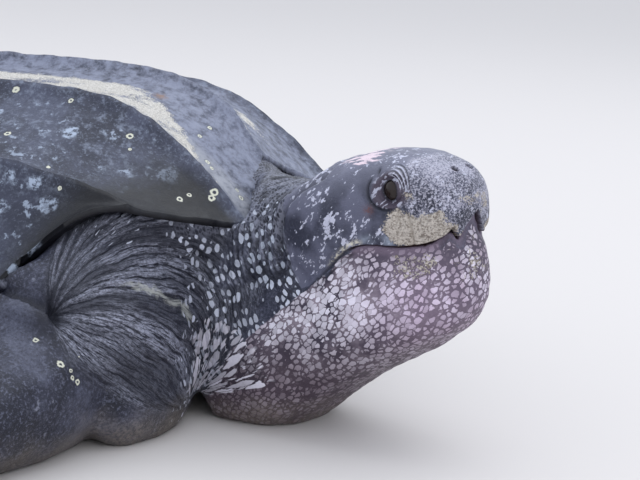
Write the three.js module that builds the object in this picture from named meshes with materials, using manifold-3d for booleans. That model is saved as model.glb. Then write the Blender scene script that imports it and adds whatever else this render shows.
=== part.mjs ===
// Leatherback turtle at rest, life size, as one still model.
// Millimetres, +Z up, +X towards the snout, +Y towards the animal's left.
// The origin is the middle of the flat underside that it rests on.

import * as THREE from 'three';
import { mergeVertices } from 'three/addons/utils/BufferGeometryUtils.js';
import Module from 'manifold-3d';

const wasm = await Module();
wasm.setup();

// Driving dimensions

const partingGap = 0.3; // between pieces that were one body
const shellThickness = 30; // in the middle, measured straight down
const rimThickness = 9; // at the edge
const shellClearance = 1.4; // vertical, leaves about 0.3 square to the steepest side
const outlineClearance = 0.001; // share of the outline's size
const ridgeHeight = 11; // how far a ridge stands over the strips beside it
const headPosition = new THREE.Vector3(962, -169, 380); // in the middle, level with the brow
const headTurn = -17; // degrees, to the animal's right
const headLift = 14.8; // degrees, snout up
const headRear = -165; // where the head ends and the neck begins, from the position above
const eyeRadius = 18;
const eyeForward = 5;
const eyeDrop = 5; // below the brow's level
const eyeSpread = 70; // from the middle of the head to the middle of an eyeball
const socketClearance = 1.2;
const armSeamSpread = 448; // from the middle plane to where an arm leaves the trunk
const farAway = 3000;

// Colours as dry, sandy skin shows them

const shellSlate = { color: 0x3d4450, roughness: 0.6, metalness: 0 };
const skinSlate = { color: 0x343a46, roughness: 0.65, metalness: 0 };
const throatPale = { color: 0x8d8288, roughness: 0.7, metalness: 0 };
const plastronPale = { color: 0xb3a49f, roughness: 0.7, metalness: 0 };
const eyeDark = { color: 0x0d0c0e, roughness: 0.15, metalness: 0 };

// Solids and their cuts

function toSolid(geometry) {
  const bare = geometry.clone();
  for (const name of Object.keys(bare.attributes)) {
    if (name !== 'position') bare.deleteAttribute(name);
  }
  const merged = mergeVertices(bare, 1e-3);
  const vertProperties = new Float32Array(merged.attributes.position.array);
  const triVerts = new Uint32Array(merged.index.array);
  return new wasm.Manifold(new wasm.Mesh({ numProp: 3, vertProperties, triVerts }));
}

function toGeometry(solid) {
  const mesh = solid.getMesh();
  const geometry = new THREE.BufferGeometry();
  geometry.setAttribute('position', new THREE.BufferAttribute(mesh.vertProperties, 3));
  geometry.setIndex(new THREE.BufferAttribute(mesh.triVerts, 1));
  return geometry;
}

function join(...solids) {
  return solids.reduce((whole, solid) => whole.add(solid));
}

// Everything on the side of a plane that its normal points to, less half the parting gap
function beyond(point, normal) {
  const direction = normal.clone().normalize();
  const box = new THREE.BoxGeometry(farAway, farAway, farAway);
  box.translate(0, 0, farAway / 2 + partingGap / 2);
  box.applyQuaternion(new THREE.Quaternion().setFromUnitVectors(new THREE.Vector3(0, 0, 1), direction));
  box.translate(point.x, point.y, point.z);
  return toSolid(box);
}

// Lofts: a closed skin over rings of the same number of points, with a fan at each end

function skinOver(rings) {
  const sides = rings[0].length;
  const positions = [];
  const index = [];
  for (const ring of rings) {
    for (const point of ring) positions.push(point.x, point.y, point.z);
  }
  for (let row = 0; row < rings.length - 1; row++) {
    for (let side = 0; side < sides; side++) {
      const a = row * sides + side;
      const b = row * sides + ((side + 1) % sides);
      index.push(a, b, b + sides, a, b + sides, a + sides);
    }
  }
  const first = positions.length / 3;
  for (const ring of [rings[0], rings[rings.length - 1]]) {
    const middle = new THREE.Vector3();
    for (const point of ring) middle.addScaledVector(point, 1 / sides);
    positions.push(middle.x, middle.y, middle.z);
  }
  const lastRing = (rings.length - 1) * sides;
  for (let side = 0; side < sides; side++) {
    const next = (side + 1) % sides;
    index.push(first, next, side);
    index.push(first + 1, lastRing + side, lastRing + next);
  }
  const geometry = new THREE.BufferGeometry();
  geometry.setAttribute('position', new THREE.Float32BufferAttribute(positions, 3));
  geometry.setIndex(index);
  return geometry;
}

// One point of an oval: square is 2 for an ellipse and more for a squarer one
function ovalPoint(angle, halfWidth, up, down, squareUp, squareDown) {
  const c = Math.cos(angle);
  const s = Math.sin(angle);
  const square = s > 0 ? squareUp : squareDown;
  const across = Math.sign(c) * Math.abs(c) ** (2 / square) * halfWidth;
  const height = Math.sign(s) * Math.abs(s) ** (2 / square) * (s > 0 ? up : down);
  return [across, height];
}

// A body of ovals along a curve. Each station has its middle (at), its half width,
// and its reach up and down from the middle.
function loft(stations, { steps, sides, squareUp = 2.2, squareDown = squareUp }) {
  const path = new THREE.CatmullRomCurve3(stations.map((station) => new THREE.Vector3(...station.at)));
  const size = new THREE.CatmullRomCurve3(
    stations.map((station) => new THREE.Vector3(station.half, station.up, station.down)),
  );
  const rings = [];
  for (let step = 0; step <= steps; step++) {
    const u = step / steps;
    const middle = path.getPoint(u);
    const reach = size.getPoint(u);
    const forward = path.getTangent(u).setZ(0).normalize();
    const left = new THREE.Vector3(-forward.y, forward.x, 0);
    const ring = [];
    for (let side = 0; side < sides; side++) {
      const angle = (side / sides) * 2 * Math.PI;
      const [across, height] = ovalPoint(angle, reach.x, reach.y, reach.z, squareUp, squareDown);
      ring.push(middle.clone().addScaledVector(left, across).add(new THREE.Vector3(0, 0, height)));
    }
    rings.push(ring);
  }
  return skinOver(rings);
}

// Four corners in turn as two triangles, cut from the first corner or from the second
function quad(a, b, c, d, fromFirst = true) {
  return fromFirst ? [a, b, c, a, c, d] : [a, b, d, b, c, d];
}

// A slab between two surfaces given over the same grid. Rows run along +X and columns
// along +Y, and both surfaces are cut into triangles alike, mirrored about the middle.
function slab(top, bottom, rows, columns) {
  const wide = columns.length;
  const under = (row, column) => row * 2 * wide + column;
  const over = (row, column) => under(row, column) + wide;
  const positions = [];
  const index = [];
  for (const row of rows) {
    for (const column of columns) positions.push(...bottom(row, column).toArray());
    for (const column of columns) positions.push(...top(row, column).toArray());
  }
  const front = rows.length - 1;
  const left = wide - 1;
  for (let r = 0; r < front; r++) {
    for (let c = 0; c < left; c++) {
      const toLeft = columns[c] + columns[c + 1] > 0;
      index.push(...quad(over(r, c), over(r + 1, c), over(r + 1, c + 1), over(r, c + 1), toLeft));
      index.push(...quad(under(r, c), under(r, c + 1), under(r + 1, c + 1), under(r + 1, c), toLeft));
    }
    index.push(...quad(under(r, 0), under(r + 1, 0), over(r + 1, 0), over(r, 0)));
    index.push(...quad(under(r + 1, left), under(r, left), over(r, left), over(r + 1, left)));
  }
  for (let c = 0; c < left; c++) {
    index.push(...quad(under(0, c + 1), under(0, c), over(0, c), over(0, c + 1)));
    index.push(...quad(under(front, c), under(front, c + 1), over(front, c + 1), over(front, c)));
  }
  const geometry = new THREE.BufferGeometry();
  geometry.setAttribute('position', new THREE.Float32BufferAttribute(positions, 3));
  geometry.setIndex(index);
  return geometry;
}

function mirrored(geometry) {
  const copy = geometry.clone().scale(1, -1, 1);
  const order = copy.index.array;
  for (let corner = 0; corner < order.length; corner += 3) {
    [order[corner + 1], order[corner + 2]] = [order[corner + 2], order[corner + 1]];
  }
  return copy;
}

function evenly(from, to, count) {
  return Array.from({ length: count + 1 }, (unused, step) => from + ((to - from) * step) / count);
}

// Carapace: seven ridges from the pointed tip to the front edge, with flat strips between

function ridgeCurve(...points) {
  return new THREE.CatmullRomCurve3(points.map((point) => new THREE.Vector3(...point)));
}

const medianRidge = ridgeCurve(
  [-800, 0, 160],
  [-600, 0, 276],
  [-300, 0, 398],
  [50, 0, 460],
  [350, 0, 474],
  [505, 0, 463],
  [592, 0, 427],
  [657, 0, 366],
);
const innerRidge = ridgeCurve(
  [-800, 9, 158],
  [-600, 75, 254],
  [-300, 120, 372],
  [50, 130, 436],
  [350, 146, 446],
  [500, 166, 434],
  [606, 178, 379],
  [712, 190, 294],
);
const outerRidge = ridgeCurve(
  [-798, 17, 155],
  [-600, 160, 204],
  [-300, 265, 290],
  [30, 306, 341],
  [270, 322, 362],
  [400, 329, 359],
  [505, 333, 343],
  [598, 338, 326],
);
const marginRidge = ridgeCurve(
  [-796, 25, 150],
  [-600, 225, 156],
  [-320, 375, 166],
  [-10, 433, 174],
  [220, 443, 180],
  [350, 441, 186],
  [440, 437, 204],
  [486, 428, 254],
);
const ridges = [medianRidge, innerRidge, outerRidge, marginRidge];
const crestShare = 0.15; // of a strip's width, that a ridge's flank takes up

// The shell's outer surface: along runs 0 to 1 from tip to front, across counts ridges from
// the middle, positive to the left. Height is how far the ridges stand up.
function shellPoint(along, across, height = ridgeHeight) {
  const side = across < 0 ? -1 : 1;
  const place = Math.min(Math.abs(across), 2.9999);
  const strip = Math.floor(place);
  const share = place - strip;
  const point = ridges[strip].getPoint(along).lerp(ridges[strip + 1].getPoint(along), share);
  const fade = Math.min(1, along * 4) * Math.min(1, 0.45 + (1 - along) * 5);
  const crest = Math.max(0, 1 - Math.min(share, 1 - share) / crestShare) ** 2;
  const middle = 4 * share * (1 - share);
  const shoulderArch = strip === 2 ? 26 * middle * along ** 6 : 0;
  point.z += crest * height * fade - 5 * middle * fade + shoulderArch;
  point.y *= side;
  return point;
}

// The underside, which is smooth and thins towards the rim
function shellUnderside(along, across) {
  const point = shellPoint(along, across, 0);
  const sideRim = THREE.MathUtils.smoothstep(Math.abs(across), 2.4, 3);
  const frontRim = THREE.MathUtils.smoothstep(along, 0.88, 1);
  const rim = Math.max(sideRim, frontRim);
  point.z -= shellThickness + (rimThickness - shellThickness) * rim;
  return point;
}

function lowered(surface, drop) {
  return (along, across) => surface(along, across).add(new THREE.Vector3(0, 0, -drop));
}

// The same surface a share larger in plan
function spread(surface, share = outlineClearance) {
  return (along, across) => {
    const point = surface(along, across);
    return new THREE.Vector3(point.x * (1 + share), point.y * (1 + share), point.z);
  };
}

function levelAt(surface, height) {
  return (along, across) => surface(along, across).setZ(height);
}

function bothSides(columns) {
  return [...columns.filter((column) => column > 0).map((column) => -column).reverse(), ...columns];
}

const fineRows = evenly(0, 1, 16);
const inFirstStrip = [crestShare, 0.5, 1 - crestShare];
const inSecondStrip = [1 + crestShare, 1.5, 2 - crestShare];
const fineColumns = bothSides([0, ...inFirstStrip, 1, ...inSecondStrip, 2, 2 + crestShare, 2.5, 3]);
const coarseColumns = bothSides([0, 1, 2, 2.5, 3]);

const hollowRoof = spread(shellUnderside, 0.01);
const hollow = toSolid(slab(hollowRoof, levelAt(hollowRoof, -100), fineRows, coarseColumns));
const carapace = toSolid(slab(shellPoint, levelAt(shellPoint, 60), fineRows, fineColumns)).subtract(hollow);

const clearUnderside = lowered(spread(shellUnderside, 0.01 + outlineClearance), shellClearance);
const overShell = toSolid(slab(levelAt(clearUnderside, 900), clearUnderside, fineRows, coarseColumns));

// Plastron: a soft plate, flat where it rests and rising at its edge

const plastronFront = 520;
const plastronRear = -600;
const plastronHalf = 300;
const plastronThickness = 26;
const plastronRise = 62;

function plastronPoint(along, across) {
  const x = plastronRear + (plastronFront - plastronRear) * along;
  const half = plastronHalf * Math.sin(Math.PI * (0.06 + 0.88 * along)) ** 0.6;
  const side = Math.max(0, (Math.abs(across) - 0.6) / 0.4);
  const end = Math.max(0, (Math.abs(2 * along - 1) - 0.72) / 0.28);
  return new THREE.Vector3(x, half * across, plastronRise * Math.min(1, side ** 2 + end ** 2));
}

const plastronRows = [0, 0.07, 0.14, 0.3, 0.5, 0.7, 0.86, 0.93, 1];
const plastronColumns = [-1, -0.87, -0.74, -0.6, -0.2, 0.2, 0.6, 0.74, 0.87, 1];
const plastron = toSolid(
  slab(lowered(plastronPoint, -plastronThickness), plastronPoint, plastronRows, plastronColumns),
);
const widePlastron = spread(plastronPoint);
const underPlastron = toSolid(
  slab(
    lowered(widePlastron, -plastronThickness - shellClearance),
    levelAt(widePlastron, -200),
    plastronRows,
    plastronColumns,
  ),
);

// Flesh

const trunkBody = loft(
  [
    { at: [-740, 0, 120], half: 60, up: 60, down: 40 },
    { at: [-640, 0, 150], half: 190, up: 200, down: 95 },
    { at: [-400, 0, 170], half: 330, up: 400, down: 150 },
    { at: [-50, 0, 180], half: 416, up: 450, down: 176 },
    { at: [250, 0, 185], half: 424, up: 450, down: 182 },
    { at: [450, 0, 190], half: 380, up: 420, down: 188 },
    { at: [580, 0, 195], half: 250, up: 330, down: 190 },
    { at: [640, 0, 200], half: 150, up: 200, down: 150 },
  ],
  { steps: 9, sides: 18, squareUp: 2.3 },
);

// Flesh that fills the rim of the shell from below
const collarInset = -0.02;
const collarDepth = 45;
const collar = slab(
  levelAt(spread(shellUnderside, collarInset), 800),
  lowered(spread(shellUnderside, collarInset), collarDepth),
  fineRows,
  bothSides([0, 1, 2, 3]),
);

function ball(x, y, z, rx, ry, rz, detail = 20) {
  const geometry = new THREE.SphereGeometry(1, detail, Math.round(detail * 0.6));
  geometry.scale(rx, ry, rz);
  geometry.translate(x, y, z);
  return geometry;
}

const shoulder = ball(510, -290, 132, 152, 210, 170, 14);
const shoulderFront = ball(560, -195, 160, 106, 128, 168, 10);
const nuchalFold = ball(640, -30, 300, 70, 105, 62, 10);

// Skin bunched between the right shoulder and the throat, as the head turns that way
const bunchedSkin = ball(602, -285, 66, 66, 140, 98, 12);

const armPivot = new THREE.Vector3(480, 300, 0);
const leftArmSwing = 8; // degrees

const frontFlipper = loft(
  [
    { at: [430, -200, 140], half: 100, up: 80, down: 130 },
    { at: [478, -330, 120], half: 130, up: 80, down: 140 },
    { at: [496, -450, 104], half: 122, up: 84, down: 124 },
    { at: [462, -590, 80], half: 110, up: 64, down: 94 },
    { at: [368, -720, 54], half: 118, up: 46, down: 64 },
    { at: [225, -815, 34], half: 138, up: 27, down: 42 },
    { at: [65, -868, 23], half: 136, up: 18, down: 28 },
    { at: [-85, -884, 15], half: 98, up: 12, down: 18 },
    { at: [-180, -880, 10], half: 50, up: 7, down: 11 },
    { at: [-212, -876, 8], half: 10, up: 3, down: 5 },
  ],
  { steps: 16, sides: 14, squareUp: 2.1 },
);

// The left one is swung back a little, as no two flippers lie alike
const leftFlipper = mirrored(frontFlipper)
  .translate(-armPivot.x, -armPivot.y, 0)
  .rotateZ(THREE.MathUtils.degToRad(leftArmSwing))
  .translate(armPivot.x, armPivot.y, 0);

const hindFlipper = loft(
  [
    { at: [-380, -190, 120], half: 90, up: 90, down: 110 },
    { at: [-500, -270, 96], half: 96, up: 70, down: 96 },
    { at: [-610, -330, 62], half: 84, up: 42, down: 66 },
    { at: [-720, -392, 36], half: 92, up: 22, down: 40 },
    { at: [-830, -450, 20], half: 100, up: 12, down: 22 },
    { at: [-915, -494, 12], half: 74, up: 8, down: 13 },
    { at: [-950, -512, 8], half: 14, up: 3, down: 5 },
  ],
  { steps: 10, sides: 12, squareUp: 2.1 },
);

const tail = loft(
  [
    { at: [-600, 0, 120], half: 110, up: 70, down: 100 },
    { at: [-700, 0, 86], half: 74, up: 54, down: 74 },
    { at: [-790, 0, 52], half: 42, up: 36, down: 44 },
    { at: [-860, 0, 28], half: 22, up: 18, down: 24 },
    { at: [-890, 0, 16], half: 6, up: 6, down: 8 },
  ],
  { steps: 6, sides: 10 },
);

const neckBody = loft(
  [
    { at: [420, -10, 190], half: 200, up: 120, down: 170 },
    { at: [600, -45, 205], half: 172, up: 148, down: 200 },
    { at: [720, -88, 235], half: 134, up: 112, down: 225 },
    { at: [815, -122, 285], half: 109, up: 74, down: 220 },
    { at: [900, -148, 330], half: 96, up: 60, down: 140 },
  ],
  { steps: 7, sides: 16, squareUp: 2.3 },
);

// Head, in its own frame: x forward, y left, z up, from half way between the eyes

const headMatrix = new THREE.Matrix4().makeRotationFromEuler(
  new THREE.Euler(0, THREE.MathUtils.degToRad(-headLift), THREE.MathUtils.degToRad(headTurn), 'ZYX'),
);
headMatrix.setPosition(headPosition);

function headPoint(x, y, z) {
  return new THREE.Vector3(x, y, z).applyMatrix4(headMatrix);
}

function headDirection(x, y, z) {
  return new THREE.Vector3(x, y, z).transformDirection(headMatrix);
}

const headBody = loft(
  [
    { at: [-210, 0, -25], half: 100, up: 30, down: 128 },
    { at: [-150, 0, -25], half: 109, up: 54, down: 126 },
    { at: [-90, 0, -25], half: 107, up: 74, down: 104 },
    { at: [-35, 0, -25], half: 97, up: 77, down: 84 },
    { at: [15, 0, -25], half: 86, up: 67, down: 75 },
    { at: [48, 0, -26], half: 70, up: 54, down: 64 },
    { at: [63, 0, -28], half: 58, up: 45, down: 55 },
    { at: [75, 0, -30], half: 44, up: 34, down: 34 },
    { at: [82, 0, -31], half: 29, up: 22, down: 18 },
    { at: [86, 0, -32], half: 12, up: 9, down: 8 },
  ],
  { steps: 15, sides: 20, squareUp: 2.5, squareDown: 3.2 },
);

const throatBody = loft(
  [
    { at: [-360, 0, -210], half: 120, up: 100, down: 120 },
    { at: [-270, 0, -200], half: 128, up: 120, down: 130 },
    { at: [-180, 0, -175], half: 114, up: 130, down: 112 },
    { at: [-90, 0, -160], half: 103, up: 132, down: 92 },
    { at: [-20, 0, -150], half: 88, up: 124, down: 80 },
    { at: [28, 0, -140], half: 69, up: 112, down: 69 },
    { at: [56, 0, -131], half: 47, up: 92, down: 54 },
    { at: [70, 0, -123], half: 29, up: 48, down: 36 },
    { at: [77, 0, -117], half: 10, up: 13, down: 13 },
  ],
  { steps: 14, sides: 18, squareUp: 3.2, squareDown: 2.6 },
);

// The mouth's edge, as its height by the distance from the middle in front and by the place
// along the head at the side. In the middle is a notch, then come a cusp and a small notch
// on each side, then a long line back to the corner, where it turns down.
const frontEdge = ridgeCurve(
  [0, -47, 0],
  [14, -60, 0],
  [29, -79, 0],
  [35, -73, 0],
  [42, -65, 0],
  [50, -76, 0],
  [60, -81, 0],
  [80, -84, 0],
);
const sideEdge = ridgeCurve(
  [40, -82, 0],
  [0, -81, 0],
  [-45, -72, 0],
  [-65, -75, 0],
  [-90, -88, 0],
  [-120, -108, 0],
  [-260, -190, 0],
);

function heightOn(curve, place) {
  let low = 0;
  let high = 1;
  const falling = curve.getPoint(1).x < curve.getPoint(0).x;
  for (let turn = 0; turn < 20; turn++) {
    const middle = (low + high) / 2;
    const before = curve.getPoint(middle).x < place;
    if (before !== falling) low = middle;
    else high = middle;
  }
  return curve.getPoint(low).y;
}

function mouthHeight(x, y) {
  const front = heightOn(frontEdge, Math.min(79.9, Math.abs(y)));
  const side = heightOn(sideEdge, Math.min(39.9, x));
  const blend = THREE.MathUtils.smoothstep(x, 15, 42);
  return side + (front - side) * blend;
}

const mouthRows = [-260, -165, -120, -92, -66, -45, 0, 22, 42, 110];
const mouthColumns = bothSides([0, 10, 20, 29, 35, 42, 49, 60, 150]);

function mouthSurface(shift) {
  return (x, y) => new THREE.Vector3(x, y, mouthHeight(x, y) + shift);
}

const highAbove = levelAt(mouthSurface(0), 400);
const farBelow = levelAt(mouthSurface(0), -900);
const aboveMouth = slab(highAbove, mouthSurface(partingGap / 2), mouthRows, mouthColumns);
const belowMouth = slab(mouthSurface(-partingGap / 2), farBelow, mouthRows, mouthColumns);

function placed(geometry) {
  return toSolid(geometry.clone().applyMatrix4(headMatrix));
}

function onBothSides(shape) {
  return [-1, 1].map((side) => placed(shape(side)));
}

function eyeBall(side, radius) {
  return ball(eyeForward, side * eyeSpread, -eyeDrop, radius, radius, radius, 12);
}

const eyeballs = onBothSides((side) => eyeBall(side, eyeRadius));
const sockets = onBothSides((side) => eyeBall(side, eyeRadius + socketClearance));
const lidMounds = onBothSides((side) => ball(eyeForward - 2, side * (eyeSpread + 1), -3, 26, 19, 27, 12));
const lidOpenings = onBothSides((side) => ball(eyeForward, side * (eyeSpread + 17), -eyeDrop, 10, 14, 13, 10));
const nostrils = onBothSides((side) => ball(80, side * 17, 14, 20, 5, 5, 8));

const headBack = headPoint(headRear, 0, 0);
const headForward = headDirection(1, 0, 0);
const headDown = headDirection(0, 0, -1);

const head = join(placed(headBody), ...lidMounds)
  .intersect(placed(aboveMouth))
  .intersect(beyond(headBack, headForward))
  .subtract(join(...sockets))
  .subtract(join(...lidOpenings))
  .subtract(join(...nostrils));

// Neck and throat share one mass, and so do the trunk, the shoulders and the limb roots

const floorCut = new THREE.BoxGeometry(farAway, farAway, farAway).translate(0, 0, -farAway / 2);
const belowFloor = toSolid(floorCut);

const neckRoot = new THREE.Vector3(665, 0, 150);
const neckForward = new THREE.Vector3(0.97, 0, -0.235);
const neckBackward = neckForward.clone().negate();

const frontMass = join(
  toSolid(neckBody),
  toSolid(nuchalFold),
  toSolid(bunchedSkin),
  placed(headBody),
  placed(throatBody),
);
const bodyMass = join(
  toSolid(trunkBody),
  toSolid(collar),
  toSolid(shoulder),
  toSolid(mirrored(shoulder)),
  toSolid(shoulderFront),
  toSolid(mirrored(shoulderFront)),
  toSolid(frontFlipper),
  toSolid(leftFlipper),
  toSolid(hindFlipper),
  toSolid(mirrored(hindFlipper)),
  toSolid(tail),
  toSolid(neckBody),
  toSolid(nuchalFold),
  toSolid(bunchedSkin),
  placed(throatBody),
);

const flesh = bodyMass.subtract(overShell).subtract(underPlastron).subtract(belowFloor);

const neckBlock = frontMass
  .subtract(overShell)
  .subtract(belowFloor)
  .intersect(beyond(neckRoot, neckForward));

const behindHead = beyond(headBack, headForward.clone().negate());
const underHead = placed(belowMouth);
const throatTop = headPoint(-120, 0, -108);
const jawBottom = headPoint(0, 0, -138);
const jawBack = headPoint(-112, 0, 0);

const neck = neckBlock.intersect(behindHead).intersect(beyond(throatTop, headDown.clone().negate()));
const lowerJaw = neckBlock
  .intersect(underHead)
  .intersect(beyond(jawBack, headForward))
  .intersect(beyond(jawBottom, headDown.clone().negate()));
const behindJaw = beyond(throatTop, headDown).intersect(beyond(jawBack, headForward.clone().negate()));
const throat = neckBlock
  .intersect(join(underHead, behindHead))
  .intersect(join(beyond(jawBottom, headDown), behindJaw));

// Limbs are parted from the trunk where they leave it. A zone keeps a seam to its own limb.
function parted(mass, point, normal, limbZone) {
  const limb = mass.intersect(beyond(point, normal)).intersect(limbZone(0));
  const gap = normal.clone().setLength(-partingGap);
  const rest = mass.subtract(beyond(point.clone().add(gap), normal).intersect(limbZone(partingGap)));
  return [limb, rest];
}

function zone(xMiddle, yMiddle, length, width) {
  return (grow) => {
    const box = new THREE.BoxGeometry(length + 2 * grow, width + 2 * grow, farAway);
    return toSolid(box.translate(xMiddle, yMiddle, 0));
  };
}

const limbs = {};
const tailSeam = new THREE.Vector3(-735, 0, 0);
const backward = new THREE.Vector3(-1, 0, 0);
const bodyWithLimbs = flesh.intersect(beyond(neckRoot, neckBackward));
let [tailEnd, trunk] = parted(bodyWithLimbs, tailSeam, backward, zone(-900, 0, 500, 200));
for (const [side, sign] of [['right', -1], ['left', 1]]) {
  const armSeam = new THREE.Vector3(0, sign * armSeamSpread, 0);
  const armOutward = new THREE.Vector3(0, sign, 0);
  [limbs[`front_flipper_${side}`], trunk] = parted(trunk, armSeam, armOutward, zone(500, 0, 2000, 3000));
  const legSeam = new THREE.Vector3(-622, sign * 338, 0);
  const legOutward = new THREE.Vector3(-0.87, sign * 0.49, 0);
  const legZone = zone(-900, sign * 515, 800, 600);
  [limbs[`hind_flipper_${side}`], trunk] = parted(trunk, legSeam, legOutward, legZone);
}

function node(name, solid, finish) {
  const mesh = new THREE.Mesh(toGeometry(solid), new THREE.MeshStandardMaterial(finish));
  mesh.name = name;
  return mesh;
}

const turtle = new THREE.Group();
turtle.add(node('carapace', carapace, shellSlate));
turtle.add(node('plastron', plastron, plastronPale));
turtle.add(node('trunk', trunk, skinSlate));
turtle.add(node('tail', tailEnd, skinSlate));
for (const [name, limb] of Object.entries(limbs)) turtle.add(node(name, limb, skinSlate));
turtle.add(node('neck', neck, skinSlate));
turtle.add(node('head', head, skinSlate));
turtle.add(node('throat', throat, throatPale));
turtle.add(node('lower_jaw', lowerJaw, throatPale));
turtle.add(node('eye_right', eyeballs[0], eyeDark));
turtle.add(node('eye_left', eyeballs[1], eyeDark));

export default turtle;
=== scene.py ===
import math

import bmesh
import bpy
import numpy as np
from mathutils import Matrix, Vector
from mathutils.bvhtree import BVHTree


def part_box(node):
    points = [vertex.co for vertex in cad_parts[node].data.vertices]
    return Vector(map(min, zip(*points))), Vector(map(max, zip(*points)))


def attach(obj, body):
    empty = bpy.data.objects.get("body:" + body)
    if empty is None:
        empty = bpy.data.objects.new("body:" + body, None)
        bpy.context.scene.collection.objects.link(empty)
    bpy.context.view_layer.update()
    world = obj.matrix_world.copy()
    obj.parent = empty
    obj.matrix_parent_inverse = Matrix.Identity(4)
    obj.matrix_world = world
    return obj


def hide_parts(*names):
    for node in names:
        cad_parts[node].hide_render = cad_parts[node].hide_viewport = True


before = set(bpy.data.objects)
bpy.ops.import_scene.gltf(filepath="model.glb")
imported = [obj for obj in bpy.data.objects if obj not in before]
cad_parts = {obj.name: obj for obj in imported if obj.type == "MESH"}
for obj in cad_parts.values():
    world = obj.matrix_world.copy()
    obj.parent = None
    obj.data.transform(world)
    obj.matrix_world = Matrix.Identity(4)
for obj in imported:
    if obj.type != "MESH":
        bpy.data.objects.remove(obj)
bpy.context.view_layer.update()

cameraPlace = {"location": (1.655, -2.52, 0.765), "turn": 19.6, "down": 11.0, "roll": 3.5, "lens": 101.25}
worldLook = {"colour": (0.87, 0.92, 1.0), "strength": 1.12}
lampPlaces = {
    "skyLamp": {
        "at": (1.2, 1.4, 6.0),
        "aim": (0.6, -0.2, 0.3),
        "size": 7.0,
        "power": 190,
        "colour": (0.94, 0.97, 1.0),
    },
    "frontLamp": {
        "at": (4.6, -4.0, 4.0),
        "aim": (0.9, -0.2, 0.3),
        "size": 5.0,
        "power": 40,
        "colour": (1.0, 0.97, 0.94),
    },
}


def makeCamera(place):
    turn, down, roll = (math.radians(place[k]) for k in ("turn", "down", "roll"))
    back = Vector((math.sin(turn) * math.cos(down), -math.cos(turn) * math.cos(down), math.sin(down)))
    level = Vector((math.cos(turn), math.sin(turn), 0))
    up = back.cross(level)
    right = level * math.cos(roll) + up * math.sin(roll)
    top = up * math.cos(roll) - level * math.sin(roll)
    data = bpy.data.cameras.new("viewCamera")
    data.lens = place["lens"]
    data.sensor_width = 36
    data.clip_end = 200
    camera = bpy.data.objects.new("viewCamera", data)
    bpy.context.scene.collection.objects.link(camera)
    matrix = Matrix((right, top, back)).transposed().to_4x4()
    matrix.translation = place["location"]
    camera.matrix_world = matrix
    bpy.context.scene.camera = camera


def makeLamps(places):
    for name, lamp in places.items():
        data = bpy.data.lights.new(name, "AREA")
        data.shape = "SQUARE"
        data.size = lamp["size"]
        data.energy = lamp["power"]
        data.color = lamp["colour"]
        thing = bpy.data.objects.new(name, data)
        bpy.context.scene.collection.objects.link(thing)
        thing.location = lamp["at"]
        thing.rotation_euler = (Vector(lamp["aim"]) - Vector(lamp["at"])).to_track_quat("-Z", "Y").to_euler()
    world = bpy.data.worlds.new("paleRoom")
    world.use_nodes = True
    sky = world.node_tree.nodes["Background"]
    sky.inputs["Color"].default_value = (*worldLook["colour"], 1)
    sky.inputs["Strength"].default_value = worldLook["strength"]
    bpy.context.scene.world = world


makeCamera(cameraPlace)
makeLamps(lampPlaces)
bpy.context.scene.view_settings.view_transform = "Standard"
print("camera and lamps are set")


def smoothStep(low, high, value):
    share = np.clip((value - low) / (high - low), 0, 1)
    return share * share * (3 - 2 * share)


def hump(distance, width):
    return np.exp(-((distance / width) ** 2))


def cornerValue(cell, seed):
    mixed = cell[:, 0] * 374761393 + cell[:, 1] * 668265263 + cell[:, 2] * 1440662683 + seed * 974634777
    mixed = (mixed ^ (mixed >> 13)) & 0x7FFFFFFF
    mixed = (mixed * 1274126177) & 0x7FFFFFFF
    mixed = (mixed ^ (mixed >> 15)) & 0xFFFF
    return mixed / 32767.5 - 1


def lumps(points, size, layers=2, seed=1):
    # smooth noise from -1 to 1 whose lumps are about this size across
    total = np.zeros(len(points))
    reach = 1.0
    for layer in range(layers):
        place = points / size * 2**layer + 50 + 17 * layer
        cell = np.floor(place).astype(np.int64)
        part = place - cell
        part = part * part * part * (part * (part * 6 - 15) + 10)
        for corner in range(8):
            step = np.array([corner & 1, (corner >> 1) & 1, corner >> 2])
            weight = np.prod(np.where(step, part, 1 - part), axis=1)
            total += reach * weight * cornerValue(cell + step, seed + layer)
        reach *= 0.5
    return total


def pleats(place, wave):
    # rounded folds with narrow valleys, from -1 to 1
    return 2 * np.abs(np.sin(place / wave * math.pi)) ** 0.6 - 1


def rowsFrom(items, key, width=3, kind=float):
    flat = np.empty(len(items) * width, kind)
    items.foreach_get(key, flat)
    return flat.reshape(-1, width)


def pointsOf(mesh):
    return rowsFrom(mesh.vertices, "co")


def setPoints(mesh, points):
    mesh.vertices.foreach_set("co", points.astype(np.float32).ravel())
    mesh.update()


def normalsOf(mesh):
    return rowsFrom(mesh.vertex_normals, "vector")


def faceCentres(mesh):
    return rowsFrom(mesh.polygons, "center")


def edgesOf(mesh):
    return rowsFrom(mesh.edges, "vertices", 2, np.int64)


def spreadOut(values, edges, rounds, share=0.5):
    # evens out a value over neighbouring vertices
    count = np.maximum(np.bincount(edges.ravel(), minlength=len(values)), 1)
    for turn in range(rounds):
        near = np.bincount(edges[:, 0], values[edges[:, 1]], len(values))
        near += np.bincount(edges[:, 1], values[edges[:, 0]], len(values))
        values = values + share * (near / count - values)
    return values


def relaxed(points, edges, rounds, weight=1.0):
    # smooths a surface without shrinking it
    weight = np.reshape(weight, (-1, 1))
    count = np.maximum(np.bincount(edges.ravel(), minlength=len(points)), 1)[:, None]
    for turn in range(rounds):
        for share in (0.5, -0.52):
            near = np.empty_like(points)
            for axis in range(3):
                near[:, axis] = np.bincount(edges[:, 0], points[edges[:, 1], axis], len(points))
                near[:, axis] += np.bincount(edges[:, 1], points[edges[:, 0], axis], len(points))
            points = points + share * weight * (near / count - points)
    return points


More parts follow.
